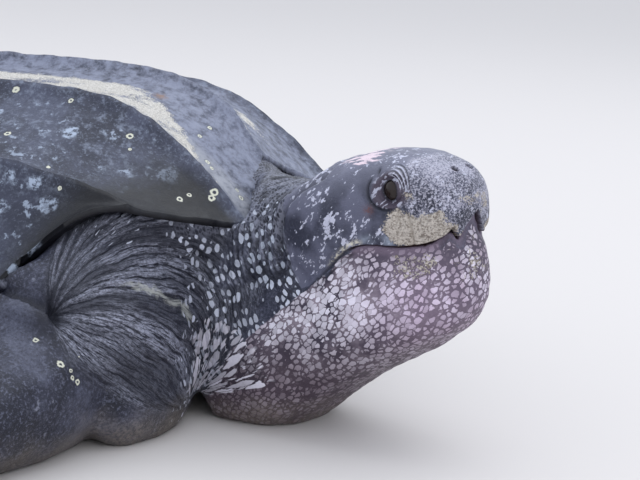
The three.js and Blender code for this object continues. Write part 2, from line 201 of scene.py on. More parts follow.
def giveValues(mesh, name, *values):
    # one value as a number, three as a vector
    layer = mesh.attributes.new(name, "FLOAT" if len(values) == 1 else "FLOAT_VECTOR", "POINT")
    packed = np.stack(values, 1).astype(np.float32).ravel()
    layer.data.foreach_set("value" if len(values) == 1 else "vector", packed)


def meshFrom(shape, name):
    mesh = bpy.data.meshes.new(name)
    shape.to_mesh(mesh)
    shape.free()
    return mesh


def mergedCopy(nodes, name):
    shape = bmesh.new()
    for node in nodes:
        shape.from_mesh(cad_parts[node].data)
    bmesh.ops.remove_doubles(shape, verts=shape.verts, dist=2e-6)
    return meshFrom(shape, name)


def linked(name, mesh):
    thing = bpy.data.objects.new(name, mesh)
    bpy.context.scene.collection.objects.link(thing)
    return thing


def withModifier(name, mesh, kind, groups=None, **settings):
    # the mesh as a modifier leaves it; groups are vertex groups for it, by name
    helper = linked(name + "Helper", mesh)
    helper.vertex_groups.clear()
    for title, weights in (groups or {}).items():
        group = helper.vertex_groups.new(name=title)
        steps = np.clip(np.round(weights * 20), 0, 20).astype(int)
        for step in range(1, 21):
            group.add(np.flatnonzero(steps == step).tolist(), step / 20, "REPLACE")
    modifier = helper.modifiers.new(kind, kind)
    for key, value in settings.items():
        setattr(modifier, key, value)
    bpy.context.view_layer.update()
    done = bpy.data.meshes.new_from_object(helper.evaluated_get(bpy.context.evaluated_depsgraph_get()))
    done.name = name
    bpy.data.objects.remove(helper)
    return done


def triangleCount(mesh):
    return sum(len(polygon.vertices) - 2 for polygon in mesh.polygons)


def thinned(name, mesh, part, most):
    # fewer triangles where this attribute is 1, down to this many there, and the rest left alone
    weights = rowsFrom(mesh.attributes[part].data, "value", 1)[:, 0]
    count = sum(len(polygon.vertices) - 2 for polygon in mesh.polygons if weights[polygon.vertices[0]] > 0.5)
    if count <= most:
        return mesh
    settings = {
        "ratio": 1 - (count - most) / triangleCount(mesh),
        "vertex_group": "thin",
        "vertex_group_factor": 1.0,
    }
    return withModifier(name, mesh, "DECIMATE", {"thin": (weights > 0.5).astype(float)}, **settings)


def finishPiece(name, mesh, material, slot, *nodes):
    for polygon in mesh.polygons:
        polygon.use_smooth = True
    mesh.materials.clear()
    mesh.materials.append(material)
    piece = linked(name, mesh)
    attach(piece, "root")
    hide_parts(*nodes)
    print(f"{name}: {triangleCount(mesh)} triangles")


# the head's own frame: x forward, y left, z up, from the middle at the brow, in millimetres
headStance = {"position": (962, -169, 380), "turn": -17.0, "lift": 14.8}


def headAxes(stance):
    turn, lift = math.radians(stance["turn"]), math.radians(stance["lift"])
    forward = Vector((math.cos(turn) * math.cos(lift), math.sin(turn) * math.cos(lift), math.sin(lift)))
    left = Vector((-math.sin(turn), math.cos(turn), 0))
    return np.array([forward, left, forward.cross(left)]).T


headTurned = headAxes(headStance)


def toHead(points):
    return (points * 1000 - np.array(headStance["position"])) @ headTurned


def fromHead(places):
    return (places @ headTurned.T + np.array(headStance["position"])) / 1000


def curveThrough(controls, places):
    controls = np.array(controls, float)
    last = len(controls) - 1
    before = 2 * controls[0] - controls[1]
    after = 2 * controls[last] - controls[last - 1]
    padded = np.vstack([before, controls, after])
    spot = np.clip(np.asarray(places, float), 0, 1) * last
    piece = np.minimum(np.floor(spot).astype(int), last - 1)
    share = (spot - piece)[:, None]
    p0, p1, p2, p3 = (padded[piece + step] for step in range(4))
    d0, d1, d2 = (np.sqrt(np.linalg.norm(b - a, axis=1))[:, None] for a, b in ((p0, p1), (p1, p2), (p2, p3)))
    t1 = ((p1 - p0) / d0 - (p2 - p0) / (d0 + d1) + (p2 - p1) / d1) * d1
    t2 = ((p2 - p1) / d1 - (p3 - p1) / (d1 + d2) + (p3 - p2) / d2) * d1
    return p1 + share * t1 + share**2 * (3 * (p2 - p1) - 2 * t1 - t2) + share**3 * (2 * (p1 - p2) + t1 + t2)


def fromLine(across, up, line):
    # distance from a line of points in a plane, and the share of the line passed
    nearest = np.full(len(across), 1e9)
    passed = np.zeros(len(across))
    total = len(line) - 1
    for index in range(total):
        a, b = np.array(line[index], float), np.array(line[index + 1], float)
        step = b - a
        share = np.clip(((across - a[0]) * step[0] + (up - a[1]) * step[1]) / (step @ step), 0, 1)
        distance = np.hypot(across - a[0] - share * step[0], up - a[1] - share * step[1])
        closer = distance < nearest
        nearest = np.where(closer, distance, nearest)
        passed = np.where(closer, (index + share) / total, passed)
    return nearest, passed


def treeOf(nodes):
    points, faces, owner = [], [], []
    for index, node in enumerate(nodes):
        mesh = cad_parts[node].data
        start = len(points)
        points += [v.co.copy() for v in mesh.vertices]
        faces += [[start + i for i in p.vertices] for p in mesh.polygons]
        owner += [index] * len(mesh.polygons)
    return BVHTree.FromPolygons(points, faces), np.array(owner)


def nearestOn(tree, points):
    spots, faces = np.empty_like(points), np.empty(len(points), int)
    for index, point in enumerate(points):
        spot, normal, face, distance = tree.find_nearest(point)
        spots[index] = spot
        faces[index] = face
    return spots, faces


shellTree, shellOwner = treeOf(["carapace"])


def underShell(points, inward=0.03):
    # true where the shell is close above, even a little further out
    covered = np.zeros(len(points), bool)
    up = Vector((0, 0, 1))
    likely = (points[:, 2] > 0.12) & (np.abs(points[:, 1]) < 0.46) & (points[:, 0] < 0.72)
    for index in np.flatnonzero(likely):
        start = Vector(points[index])
        outward = Vector((start.x - 0.05, start.y, 0)).normalized() * inward
        if shellTree.ray_cast(start, up, 0.2)[0] and shellTree.ray_cast(start + outward, up, 0.2)[0]:
            covered[index] = True
    return covered


bench = {"tree": None}  # the node tree that new nodes go into
groups = {}


class Value:
    # one output of a node, so that a sum or a product of values is a Math node
    def __init__(self, socket):
        self.socket = socket

    def __add__(self, other):
        return calc("ADD", self, other)

    def __radd__(self, other):
        return calc("ADD", other, self)

    def __sub__(self, other):
        return calc("SUBTRACT", self, other)

    def __rsub__(self, other):
        return calc("SUBTRACT", other, self)

    def __mul__(self, other):
        return calc("MULTIPLY", self, other)

    def __truediv__(self, other):
        return calc("DIVIDE", self, other)

    def __abs__(self):
        return calc("ABSOLUTE", self)


class Outputs:
    # the outputs of a node, by name or by number
    def __init__(self, node):
        self.node = node

    def __getitem__(self, key):
        return Value(self.node.outputs[key])


def plug(value, socket):
    # a value is linked, a plain number or colour is set
    if isinstance(value, Value):
        bench["tree"].links.new(value.socket, socket)
    else:
        socket.default_value = (*value, 1) if socket.type == "RGBA" else value


def put(kind, sockets=None, **settings):
    node = bench["tree"].nodes.new("ShaderNode" + kind)
    for key, value in settings.items():
        setattr(node, key, value)
    for key, value in (sockets or {}).items():
        plug(value, node.inputs[key])
    return Outputs(node)


def calc(operation, *values):
    return put("Math", dict(enumerate(values)), operation=operation)["Value"]


def larger(first, second):
    return calc("MAXIMUM", first, second)


def smaller(first, second):
    return calc("MINIMUM", first, second)


def step(value, low, high, start=0.0, end=1.0):
    sockets = {"Value": value, "From Min": low, "From Max": high, "To Min": start, "To Max": end}
    return put("MapRange", sockets, interpolation_type="SMOOTHSTEP")["Result"]


def blend(share, first, second):
    return put("Mix", {0: share, 6: first, 7: second}, data_type="RGBA")[2]


def noise(place, scale, detail=3.0, roughness=0.55):
    return put("TexNoise", {"Vector": place, "Scale": scale, "Detail": detail, "Roughness": roughness})["Fac"]


def cellsOf(place, feature, randomness=1.0):
    return put("TexVoronoi", {"Vector": place, "Scale": 1.0, "Randomness": randomness}, feature=feature)


def toneOf(cells, channel):
    return put("SeparateColor", {"Color": cells["Color"]})[channel]


def farFrom(place, centre):
    return put("VectorMath", {0: place, 1: centre}, operation="DISTANCE")["Value"]


def bent(place, scale, detail, amount):
    # a place made ragged, so that what is drawn on it has no straight lines
    wobble = put("TexNoise", {"Vector": place, "Scale": scale, "Detail": detail})["Color"]
    offset = put("VectorMath", {0: wobble, 1: (0.5, 0.5, 0.5)}, operation="SUBTRACT")["Vector"]
    return put("VectorMath", {0: offset, 1: amount, 2: place}, operation="MULTIPLY_ADD")["Vector"]


def stretched(place, turn=(0, 0, 0), scale=(1, 1, 1), shift=(0, 0, 0)):
    # turned by these degrees first, then made longer or shorter along its own axes
    sockets = {"Vector": place, "Rotation": [math.radians(angle) for angle in turn]}
    turned = put("VectorRotate", sockets, rotation_type="EULER_XYZ")["Vector"]
    return put("Mapping", {"Vector": turned, "Scale": scale, "Location": shift})["Vector"]


def lineSpace(across, along, share):
    # a place in which patterns come out long and thin, along the folds
    return put("CombineXYZ", {0: across, 1: along * share})["Vector"]


def marks(name):
    # the three values kept under one name on the mesh
    place = put("Attribute", attribute_name=name)["Vector"]
    parts = put("SeparateXYZ", {"Vector": place})
    return parts[0], parts[1], parts[2]


def group(name, build, **inputs):
    tree = bpy.data.node_groups.new(name, "ShaderNodeTree")
    tree.interface.new_socket("Place", in_out="INPUT", socket_type="NodeSocketVector")
    for title, usual in inputs.items():
        kind = "Vector" if isinstance(usual, tuple) else "Float"
        socket = tree.interface.new_socket(title, in_out="INPUT", socket_type="NodeSocket" + kind)
        socket.default_value = usual
    bench["tree"] = tree
    results = build(Outputs(tree.nodes.new("NodeGroupInput")))
    for title in results:
        tree.interface.new_socket(title, in_out="OUTPUT", socket_type="NodeSocketFloat")
    end = tree.nodes.new("NodeGroupOutput")
    for title, value in results.items():
        plug(value, end.inputs[title])
    groups[name] = tree


def use(name, **sockets):
    made = put("Group", node_tree=groups[name])
    for key, value in sockets.items():
        plug(value, made.node.inputs[key.capitalize()])
    return made


def scaledPlace(given):
    return put("VectorMath", {0: given["Place"], "Scale": given["Scale"]}, operation="SCALE")["Vector"]


def buildScales(given):
    # pale scales in a dark net; a wide Net leaves small separate spots, a narrow one leaves tiles
    place = bent(scaledPlace(given), 1.3, 2.0, given["Ragged"])
    edges, cells = cellsOf(place, "DISTANCE_TO_EDGE", 0.8), cellsOf(place, "F1", 0.8)
    corners = larger(cells["Distance"] - 0.3, 0.0) * given["Round"]
    net = given["Net"] + corners + step(toneOf(cells, 0), 0, 1, -0.07, 0.09)
    return {"Mask": step((edges["Distance"] - net) / given["Softness"], 0, 1), "Tone": toneOf(cells, 2)}


def buildBlotches(given):
    # small ragged flecks gathered into clusters; Amount moves from none to all over
    clusters = noise(given["Place"], given["Scale"], 2.0, 0.5)
    flecks = noise(given["Place"], given["Scale"] * 3.4, 3.0, 0.62)
    low = 0.74 - given["Amount"] * 0.3
    return {"Mask": step((clusters * 0.42 + flecks * 0.58 - low) / given["Softness"], 0, 1)}


def buildRosettes(given):
    # broken pale rings of spots around darker middles; Amount is the share of places that have one
    cells = cellsOf(bent(scaledPlace(given), 2.2, 3.0, (0.7, 0.7, 0.7)), "F1")
    ring = step(cells["Distance"], 0.05, 0.2) * step(cells["Distance"], 0.48, 0.3)
    kept = calc("LESS_THAN", toneOf(cells, 0), given["Amount"])
    flecks = noise(given["Place"], given["Scale"] * 5.0, 3.0, 0.65)
    return {"Mask": ring * kept * step(flecks, 0.4, 0.56)}


def buildGrains(given):
    # loose sand: how thick it lies comes from Amount
    patches = noise(given["Place"], given["Scale"], 4.0, 0.65)
    grains = put("TexVoronoi", {"Vector": given["Place"], "Scale": given["Scale"] * 9}, feature="F1")
    mask = step(patches * 0.8 + toneOf(grains, 0) * 0.35 - (1.0 - given["Amount"]), 0.02, 0.16)
    return {"Mask": mask, "Tone": toneOf(grains, 1), "Relief": mask * (1 - grains["Distance"])}


def buildCreases(given):
    # the fine net of lines that all of the skin has
    lines = cellsOf(bent(scaledPlace(given), 0.5, 2.0, (1.1, 1.1, 1.1)), "DISTANCE_TO_EDGE")
    return {"Relief": step(lines["Distance"], 0, 0.22)}


def buildRing(given):
    # one small pale ring scar with a darker middle, over those drawn before it
    share = farFrom(given["Place"], given["Centre"]) / given["Radius"]
    ring = step(share, 0.3, 0.52) * step(share, 1.05, 0.85)
    return {"Ring": larger(ring, given["Ring"]), "Inside": larger(step(share, 1.5, 0.9), given["Inside"])}


group("paleScales", buildScales, Scale=80.0, Net=0.15, Softness=0.06, Ragged=(0.5, 0.5, 0.5), Round=0.4)
group("raggedBlotches", buildBlotches, Scale=80.0, Amount=0.5, Softness=0.04)
group("paleRosettes", buildRosettes, Scale=80.0, Amount=0.5)
group("looseSand", buildGrains, Scale=80.0, Amount=0.5)
group("fineCreases", buildCreases, Scale=80.0)
group("ringScar", buildRing, Centre=(0, 0, 0), Radius=0.005, Ring=0.0, Inside=0.0)


def ringsOn(place, rings):
    place = bent(place, 260, 2.0, (0.004, 0.004, 0.004))
    ring, inside = 0.0, 0.0
    for centre, radius in rings:
        scar = use("ringScar", place=place, centre=centre, radius=radius, ring=ring, inside=inside)
        ring, inside = scar["Ring"], scar["Inside"]
    return ring, inside


def newFinish(name, **sockets):
    material = bpy.data.materials.new(name)
    material.use_nodes = True
    bench["tree"] = material.node_tree
    shader = material.node_tree.nodes["Principled BSDF"]
    for key, value in sockets.items():
        shader.inputs[key].default_value = value
    return material, shader


def painted(shader, colour, roughness=None, height=None):
    # height is in millimetres
    plug(colour, shader.inputs["Base Color"])
    if roughness is not None:
        plug(roughness, shader.inputs["Roughness"])
    if height is not None:
        bump = put("Bump", {"Height": height, "Strength": 1.0, "Distance": 0.001})
        plug(bump["Normal"], shader.inputs["Normal"])


skinShape = {
    "voxel": 0.007,
    "bodyRounds": 34,
    "evenRounds": 26,
    "coveredTriangles": 9000,
    "farTriangles": 46000,
    "nearTriangles": 140000,
}
# sizes below are in millimetres of the head's frame
eyeShape = {
    "centre": (5, 70, -5),
    "ball": 18,
    "opening": (11, 14),
    "lidThickness": 2.6,
    "depth": 13,
    "foldRadius": 28.5,
    "wrinkleStart": 1.40,
    "wrinkleStep": 0.27,
}
nostrilShape = {"centre": (67, 17, 11), "radius": 5.6, "depth": 11}
mouthShape = {"gap": 2.0, "gapDepth": 7, "lipInset": 6.5, "lipReach": 30, "edgeRoll": 1.4}
# the edge of the beak, by the distance from the middle in front and by the place along the side
mouthFront = [(0, -47), (14, -60), (29, -79), (35, -73), (42, -65), (50, -76), (60, -81), (80, -84)]
mouthSide = [(-260, -190), (-120, -108), (-90, -88), (-65, -75), (-45, -72), (0, -81), (40, -82)]
cheekGroove = [(17, -24), (23, -36), (25, -50), (25, -64), (20, -82)]
headEnd = [(-84, 64), (-102, 26), (-136, 13), (-158, -2), (-176, -39), (-180, -84)]
# the shoulder's folds are arcs between two pinches, seen square on from front right, in metres
foldShape = {"across": (0.942, 0.335), "rearPinch": (0.362, 0.197), "frontPinch": (0.540, 0.030)}
armCrease = [(0.250, 0.214), (0.293, 0.213), (0.331, 0.209), (0.361, 0.198), (0.385, 0.172)]

faceNodes = ["head", "lower_jaw", "eye_right", "eye_left"]
fleshNodes = ["trunk", "tail", "front_flipper_right", "front_flipper_left", "hind_flipper_right"]
fleshNodes += ["hind_flipper_left", "neck", "head", "throat", "lower_jaw"]
solidNodes = fleshNodes + ["eye_right", "eye_left"]
solidTree, solidOwner = treeOf(solidNodes)


def edgeSamples(controls):
    return curveThrough([(a, b, 0) for a, b in controls], np.linspace(0, 1, 240))[:, :2]


frontEdge, sideEdge = edgeSamples(mouthFront), edgeSamples(mouthSide)


def overMouth(places):
    # height over the beak's edge, and where that edge is a mouth and no longer a fold
    ahead, side = places[:, 0], np.abs(places[:, 1])
    front = np.interp(side, frontEdge[:, 0], frontEdge[:, 1])
    back = np.interp(ahead, sideEdge[:, 0], sideEdge[:, 1])
    edge = back + (front - back) * smoothStep(15, 42, ahead)
    isMouth = smoothStep(-72, -58, ahead) * smoothStep(-185, -140, places[:, 2])
    return places[:, 2] - edge, isMouth


def inFront(points):
    return smoothStep(0, 0.05, points[:, 0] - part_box("throat")[0][0] - 0.06) * (points[:, 1] < 0.15)


def foldPlaces(points):
    # height counts the shoulder's arcs from the straight one, along runs down them from pinch to pinch
    across = points[:, 0] * foldShape["across"][0] + points[:, 1] * foldShape["across"][1]
    here = np.stack([across, points[:, 2]], 1)
    rear, front = np.array(foldShape["rearPinch"]), np.array(foldShape["frontPinch"])
    toRear, toFront = rear - here, front - here
    turned = np.arctan2(
        toRear[:, 0] * toFront[:, 1] - toRear[:, 1] * toFront[:, 0],
        np.sum(toRear * toFront, axis=1),
    )
    side = np.where(turned > 0, 1, -1)
    bend = math.pi - np.abs(turned)
    half = np.linalg.norm(rear - front) / 2
    height = half * np.tan(np.clip(bend, 0, 2.75) / 2)
    rearWay, frontWay = (np.linalg.norm(way, axis=1) + 1e-4 for way in (toRear, toFront))
    crowding = (height**2 + half**2) / (rearWay * frontWay)
    along = 0.5 * half * np.log(rearWay / frontWay) * (1 + height**2 / half**2)
    return here, side * bend, side * height, along, rearWay, crowding


def skinBase():
    # one closed surface over all the flesh, finer towards the face
    flesh = mergedCopy(solidNodes, "flesh")
    mesh = withModifier("turtleSkin", flesh, "REMESH", mode="VOXEL", voxel_size=skinShape["voxel"])
    points, edges = pointsOf(mesh), edgesOf(mesh)
    setPoints(mesh, relaxed(points, edges, skinShape["bodyRounds"]))

    centres = faceCentres(mesh)
    shoulder = (centres[:, 0] > 0.34) & (
        centres[:, 1] < -0.08
    ) & (centres[:, 1] > -0.68) & (centres[:, 2] > 0.015)
    nape = (centres[:, 0] > 0.58) & (np.abs(centres[:, 1]) < 0.3)
    fine = (inFront(centres) > 0.3) | shoulder | nape
    subdivided(mesh, fine & ~underShell(centres))

    # back out to where the solids are, without their facets
    points, edges, normals = pointsOf(mesh), edgesOf(mesh), normalsOf(mesh)
    spots, faces = nearestOn(solidTree, points)
    offset = np.sum((spots - points) * normals, axis=1)
    offset = np.where(np.linalg.norm(spots - points, axis=1) < 0.02, offset, 0) * inFront(points)
    offset = spreadOut(offset, edges, skinShape["evenRounds"])
    setPoints(mesh, points + offset[:, None] * normals)

    centres = faceCentres(mesh)
    spots, faces = nearestOn(solidTree, centres)
    isFace = np.isin(solidOwner[faces], [solidNodes.index(node) for node in faceNodes])
    folded = shoulderWeight(centres, foldPlaces(centres)[1]) > 0.2
    subdivided(mesh, (isFace & (toHead(centres)[:, 0] > -150)) | folded)
    points, edges = pointsOf(mesh), edgesOf(mesh)
    setPoints(mesh, relaxed(points, edges, 3, inFront(points)))

    places = toHead(faceCentres(mesh))
    centre = np.array(eyeShape["centre"])
    eye = (
        np.hypot(places[:, 0] - centre[0] - 3, places[:, 2] - centre[2]) < 31
    ) & (np.abs(places[:, 1]) > 52)
    rise, isMouth = overMouth(places)
    mouth = (np.abs(rise + 1) < 4.5) & (isMouth > 0.1)
    nostril = np.linalg.norm(np.abs(places) - np.array(nostrilShape["centre"]), axis=1) < 11
    subdivided(mesh, eye | mouth | nostril)
    print(f"skin base: {len(mesh.vertices)} vertices")
    return mesh


def subdivided(mesh, chosen):
    shape = bmesh.new()
    shape.from_mesh(mesh)
    shape.faces.ensure_lookup_table()
    edges = {edge for index in np.flatnonzero(chosen) for edge in shape.faces[index].edges}
    bmesh.ops.subdivide_edges(shape, edges=list(edges), cuts=1, use_grid_fill=True)
    shape.to_mesh(mesh)
    shape.free()
    mesh.update()


def sculptEye(places):
    # a push away from the middle plane, masks of the lids and their wrinkles, and a mask of painted shade in
    # their fold, the slit, the edge of the opening and the troughs of the wrinkles
    shape = eyeShape
    ahead, up = places[:, 0] - shape["centre"][0], places[:, 2] - shape["centre"][2]
    side = np.abs(places[:, 1])
    atSide = (side > 50).astype(float)
    reach = np.hypot(ahead / shape["opening"][0], up / shape["opening"][1])
    distance = np.hypot(ahead, up)
    bearing = np.degrees(np.arctan2(up, ahead)) % 360
    ball = shape["centre"][1] + np.sqrt(np.clip(shape["ball"] ** 2 - distance**2, 36, None))
    edge = ball + shape["lidThickness"] - shape["depth"] * (1 - smoothStep(0.86, 1.0, reach))
    push = (1 - smoothStep(1.12, 1.7, reach)) * (edge - side)
    push += 1.2 * hump(reach - 1.2, 0.13)

    foldAt = shape["foldRadius"] + 4.5 * np.cos(np.radians(bearing - 140))
    rear = smoothStep(138, 156, bearing) * (1 - smoothStep(255, 285, bearing))
    groove = hump(distance - foldAt, 1.7) * rear
    push += -2.8 * groove + 1.0 * hump(distance - foldAt - 4, 3) * rear
    push += 1.3 * hump(distance - foldAt + 6, 4.5) * rear
    push -= 0.9 * hump(distance - foldAt + 12, 1.6) * rear

    first, step = shape["wrinkleStart"], shape["wrinkleStep"]
    wave = np.cos((reach - first) / step * 2 * math.pi)
    upperFront = smoothStep(0.55, 0.85, np.cos(np.radians(bearing - 42)))
    upperFront *= smoothStep(first - 0.12, first - 0.02, reach) * (
        1 - smoothStep(first + 3.6 * step, first + 4.1 * step, reach)
    )
    push += upperFront * (0.65 * wave + 0.8)
    slit = hump(np.hypot(ahead + 19, (up - 27) / 2.2), 2.0)
    push -= 3.0 * slit
    lid = (1 - smoothStep(22, 30, distance)) * atSide
    stripe = upperFront * smoothStep(0.45, 0.95, wave) * atSide
    dark = np.clip(
        groove + slit + hump(reach - 1.0, 0.14) + upperFront * smoothStep(0.1, 0.9, -wave), 0, 1
    ) * atSide
    return push * atSide, lid, stripe, dark


def sculptFace(points, normals, share):
    # returns the new points, and masks for the finish
    places = toHead(points)
    outward = normals @ headTurned
    ahead, side, up = places[:, 0], np.abs(places[:, 1]), places[:, 2]
    sideways, lid, stripe, dark = sculptEye(places)
    push = np.zeros(len(points))

    rise, isMouth = overMouth(places)
    shape = mouthShape
    front = smoothStep(10, 45, ahead)
    isBelow = smoothStep(0.5, -0.7, rise)
    gap = shape["gap"] + front * (1 + 6 * hump(side - 42, 4.5) + 3.5 * hump(side - 9, 6))
    inGap = isBelow * smoothStep(-gap - 1.5, -gap, rise) * isMouth
    lip = isBelow * np.clip(1 + rise / shape["lipReach"], 0, 1) ** 1.5 * isMouth
    push -= shape["lipInset"] * lip * (0.5 + 0.5 * front)
    push -= shape["gapDepth"] * inGap * (0.35 + 0.65 * front)
    push += shape["edgeRoll"] * (1 - isBelow) * hump(rise, 6) * isMouth

    corner = smoothStep(-56, -70, ahead) * smoothStep(-150, -112, ahead) * (side > 45)
    folds = -2.8 * hump(rise, 2.4) + 1.6 * hump(rise - 4.2, 2.2) + 1.4 * hump(rise + 4.5, 2.2)
    folds += -2.0 * hump(rise + 9, 2.2) - 1.4 * hump(rise - 8.5, 2.2) + 0.9 * hump(rise + 13, 2.6)
    push += folds * corner

    groove, passed = fromLine(ahead, up, cheekGroove)
    onCheek = (side > 40) * (rise > -1) * smoothStep(0, 0.2, passed)
    push += onCheek * (0.8 * hump(groove - 4, 2.5) - 2.0 * hump(groove, 1.8))
    end, passed = fromLine(ahead, up, headEnd)
    atEnd = smoothStep(5, 25, side) * share["front"] * smoothStep(1, 0.86, passed)
    push += atEnd * (1.8 * hump(end - 9, 5) - 4.2 * hump(end, 4.5))

    # muscle behind the eye and under it, and broad unevenness
    onSide = smoothStep(45, 75, side) * share["face"] * (rise > -10)
    push += onSide * 3.0 * hump(np.hypot((ahead + 78) / 1.2, up + 22), 40)
    push -= onSide * 1.6 * hump(np.hypot(ahead - 18, up + 32), 13) * (1 - lid)
    push += (0.9 * lumps(points, 0.040, 2, 5) + 0.25 * lumps(points, 0.010, 2, 6)) * share["face"] * (1 - lid)

    centre = np.array(nostrilShape["centre"])
    nostril = np.linalg.norm(np.stack([ahead, side, up], 1) - centre, axis=1)
    radius = nostrilShape["radius"]
    hole = 1 - smoothStep(radius - 1.2, radius + 0.6, nostril)
    push += 0.9 * hump(nostril - radius - 2, 1.8) - nostrilShape["depth"] * hole

    shaped = places + outward * push[:, None]
    shaped[:, 1] += np.sign(places[:, 1]) * sideways
    # painted shade in the eye's grooves, the nostrils, the mouth gap, the creases at the mouth's corners, the
    # cheek groove and the groove behind the head
    dark = np.clip(
        dark + hole + inGap + 0.8 * corner * hump(rise, 2.4) + 0.6 * onCheek * hump(groove, 1.6), 0, 1
    )
    dark = np.clip(dark + 0.6 * corner * hump(rise + 9, 2.2) + 0.5 * atEnd * hump(end, 3.5), 0, 1)
    return (
        fromHead(shaped),
        {"lid": lid, "stripe": stripe, "dark": dark, "lip": lip, "gap": inGap, "hole": hole},
    )


def shoulderWeight(points, bend):
    weight = smoothStep(-0.55, -0.12, bend) * (1 - smoothStep(2.45, 2.7, bend))
    weight = weight * smoothStep(0.34, 0.40, points[:, 0]) * smoothStep(-0.14, -0.22, points[:, 1])
    return weight * (1 - smoothStep(0.32, 0.40, points[:, 2])) * smoothStep(0, 0.04, points[:, 2])


def sculptShoulder(points, share):
    here, bend, height, along, rearWay, crowding = foldPlaces(points)
    weight = shoulderWeight(points, bend) * share
    warp = 0.4 * lumps(points, 0.045, 2, 11)
    patchy = 0.75 + 0.35 * lumps(points, 0.06, 1, 12)
    push = np.zeros(len(points))
    relief = np.zeros(len(points))
    for octave in range(-1, 5):
        wave = 0.0075 * 2.0**octave
        local = wave / crowding
        fits = smoothStep(0.0042, 0.0062, local) * (1 - smoothStep(0.012, 0.019, local))
        fold = fits * pleats(height + wave * warp + 0.013 * octave, wave)
        push += local * 0.13 * fold
        relief += fold
    broad = pleats(height + 0.03 * warp, 0.034) * hump(along, 0.16)
    push = push * patchy + 0.0015 * broad - 0.010 * hump(rearWay, 0.028)
    crease, passed = fromLine(here[:, 0], here[:, 1], armCrease)
    lineHeight = np.interp(here[:, 0], [p[0] for p in armCrease], [p[1] for p in armCrease])
    above = here[:, 1] > lineHeight
    nearArm = smoothStep(-0.36, -0.42, points[:, 1]) * (points[:, 0] > 0.3) * share
    carved = np.where(above, -0.012 * hump(crease - 0.006, 0.012), 0.004 * hump(crease - 0.010, 0.012))
    carved *= nearArm * smoothStep(1, 0.8, passed)
    # painted shade in the hollow at the rear pinch and in the crease above the arm
    dark = np.clip(
        hump(rearWay, 0.022) + above * hump(crease - 0.004, 0.007) * nearArm * smoothStep(1, 0.8, passed),
        0,
        1,
    )
    return push * weight + carved, weight, np.clip(relief, -1, 1) * weight, dark, height, along


def sculptNeck(points, places, share):
    # close upright pleats behind the head, wider ones on towards the shoulder
    ahead, up = places[:, 0], places[:, 2]
    behind, passed = fromLine(ahead, up, headEnd)
    warped = behind + 5 * lumps(points, 0.04, 2, 21)
    weight = share * smoothStep(3, 12, behind) * (1 - smoothStep(85, 150, behind))
    close, wide = pleats(warped, 9.5), pleats(warped + 0.35 * up, 21)
    return (0.0017 * close + 0.0014 * wide) * weight, (0.7 * close + 0.3 * wide) * weight


def sculptThroat(points, places, share):
    slant = 0.57 * places[:, 0] + 0.82 * places[:, 2] + 16 * lumps(points, 0.07, 2, 31)
    push = 0.0022 * lumps(
        points, 0.075, 2, 33
    ) + 0.0006 * pleats(slant, 31) + 0.0005 * lumps(points, 0.013, 2, 34)
    return push * share


def shoulderSide(points):
    # the skin bunched up in front of the shoulder, which is part of the shoulder and not of the throat
    across = points[:, 0] * foldShape["across"][0] + points[:, 1] * foldShape["across"][1]
    return smoothStep(
        0.02, -0.02, across - 0.575 - 0.35 * (points[:, 2] - 0.05)
    ) * smoothStep(-0.16, -0.22, points[:, 1])


def skinShares(points, edges):
    # how much each place belongs to a part of the body, with soft borders
    spots, faces = nearestOn(solidTree, points)
    owner = solidOwner[faces]

    def belongs(*nodes):
        return np.isin(owner, [solidNodes.index(node) for node in nodes]).astype(float)

    bunched = shoulderSide(points)
    face, throat = belongs(*faceNodes), belongs("throat") * (1 - bunched)
    body = belongs("trunk", "front_flipper_right", "front_flipper_left") + belongs("throat") * bunched
    return {
        "face": spreadOut(face, edges, 6),
        "front": spreadOut(face + belongs("neck") + throat, edges, 12),
        "neck": spreadOut(belongs("neck"), edges, 16),
        "throat": spreadOut(throat, edges, 24),
        "trunk": spreadOut(body, edges, 16),
    }


def makeSkin():
    mesh = skinBase()
    points, edges, normals = pointsOf(mesh), edgesOf(mesh), normalsOf(mesh)
    places = toHead(points)
    share = skinShares(points, edges)
    shaped, face = sculptFace(points, normals, share)
    shaped = np.where((points[:, 0] > 0.68)[:, None], shaped, points)
    shoulderPush, fan, fanRelief, foldPaintedShade, foldHeight, foldAlong = sculptShoulder(points, share["trunk"])
    neckPush, neckRelief = sculptNeck(points, places, share["neck"])
    throatPush = sculptThroat(points, places, share["throat"] * (1 - face["lip"]))
    broad = 0.0025 * lumps(points, 0.11, 2, 41) * (1 - share["front"])
    shaped += normals * (shoulderPush + neckPush + throatPush + broad)[:, None]
    shaped[:, 2] = np.maximum(shaped[:, 2], 0)
    setPoints(mesh, shaped)
    giveMarks(mesh, points, places, share, face, fan, fanRelief, neckRelief, foldPaintedShade, foldHeight, foldAlong)
    print("skin: sculpted")

    covered = underShell(points) | ((points[:, 2] < 0.012) & (points[:, 0] < 0.6))
    near = np.maximum(inFront(points), shoulderWeight(points, foldPlaces(points)[1])) > 0.1
    near = (near | ((points[:, 0] > 0.45) & (points[:, 1] < -0.1))) & ~covered
    giveValues(mesh, "covered", covered)
    giveValues(mesh, "far", ~near & ~covered)
    giveValues(mesh, "near", near)
    for part in ("covered", "far", "near"):
        mesh = thinned("turtleSkin", mesh, part, skinShape[part + "Triangles"])
    return mesh


def fromPinch(points):
    # direction and distance from where the shoulder's folds run together in front
    across = points[:, 0] * foldShape["across"][0] + points[:, 1] * foldShape["across"][1]
    ahead, up = across - foldShape["frontPinch"][0], points[:, 2] - foldShape["frontPinch"][1]
    turn, way = np.arctan2(up, ahead), np.hypot(ahead, up)
    rays = smoothStep(0.25, 0.55, turn) * smoothStep(1.65, 1.40, turn) * smoothStep(0.012, 0.03, way)
    return turn, way, rays * smoothStep(0.145, 0.105, way) * smoothStep(-0.10, -0.16, points[:, 1])


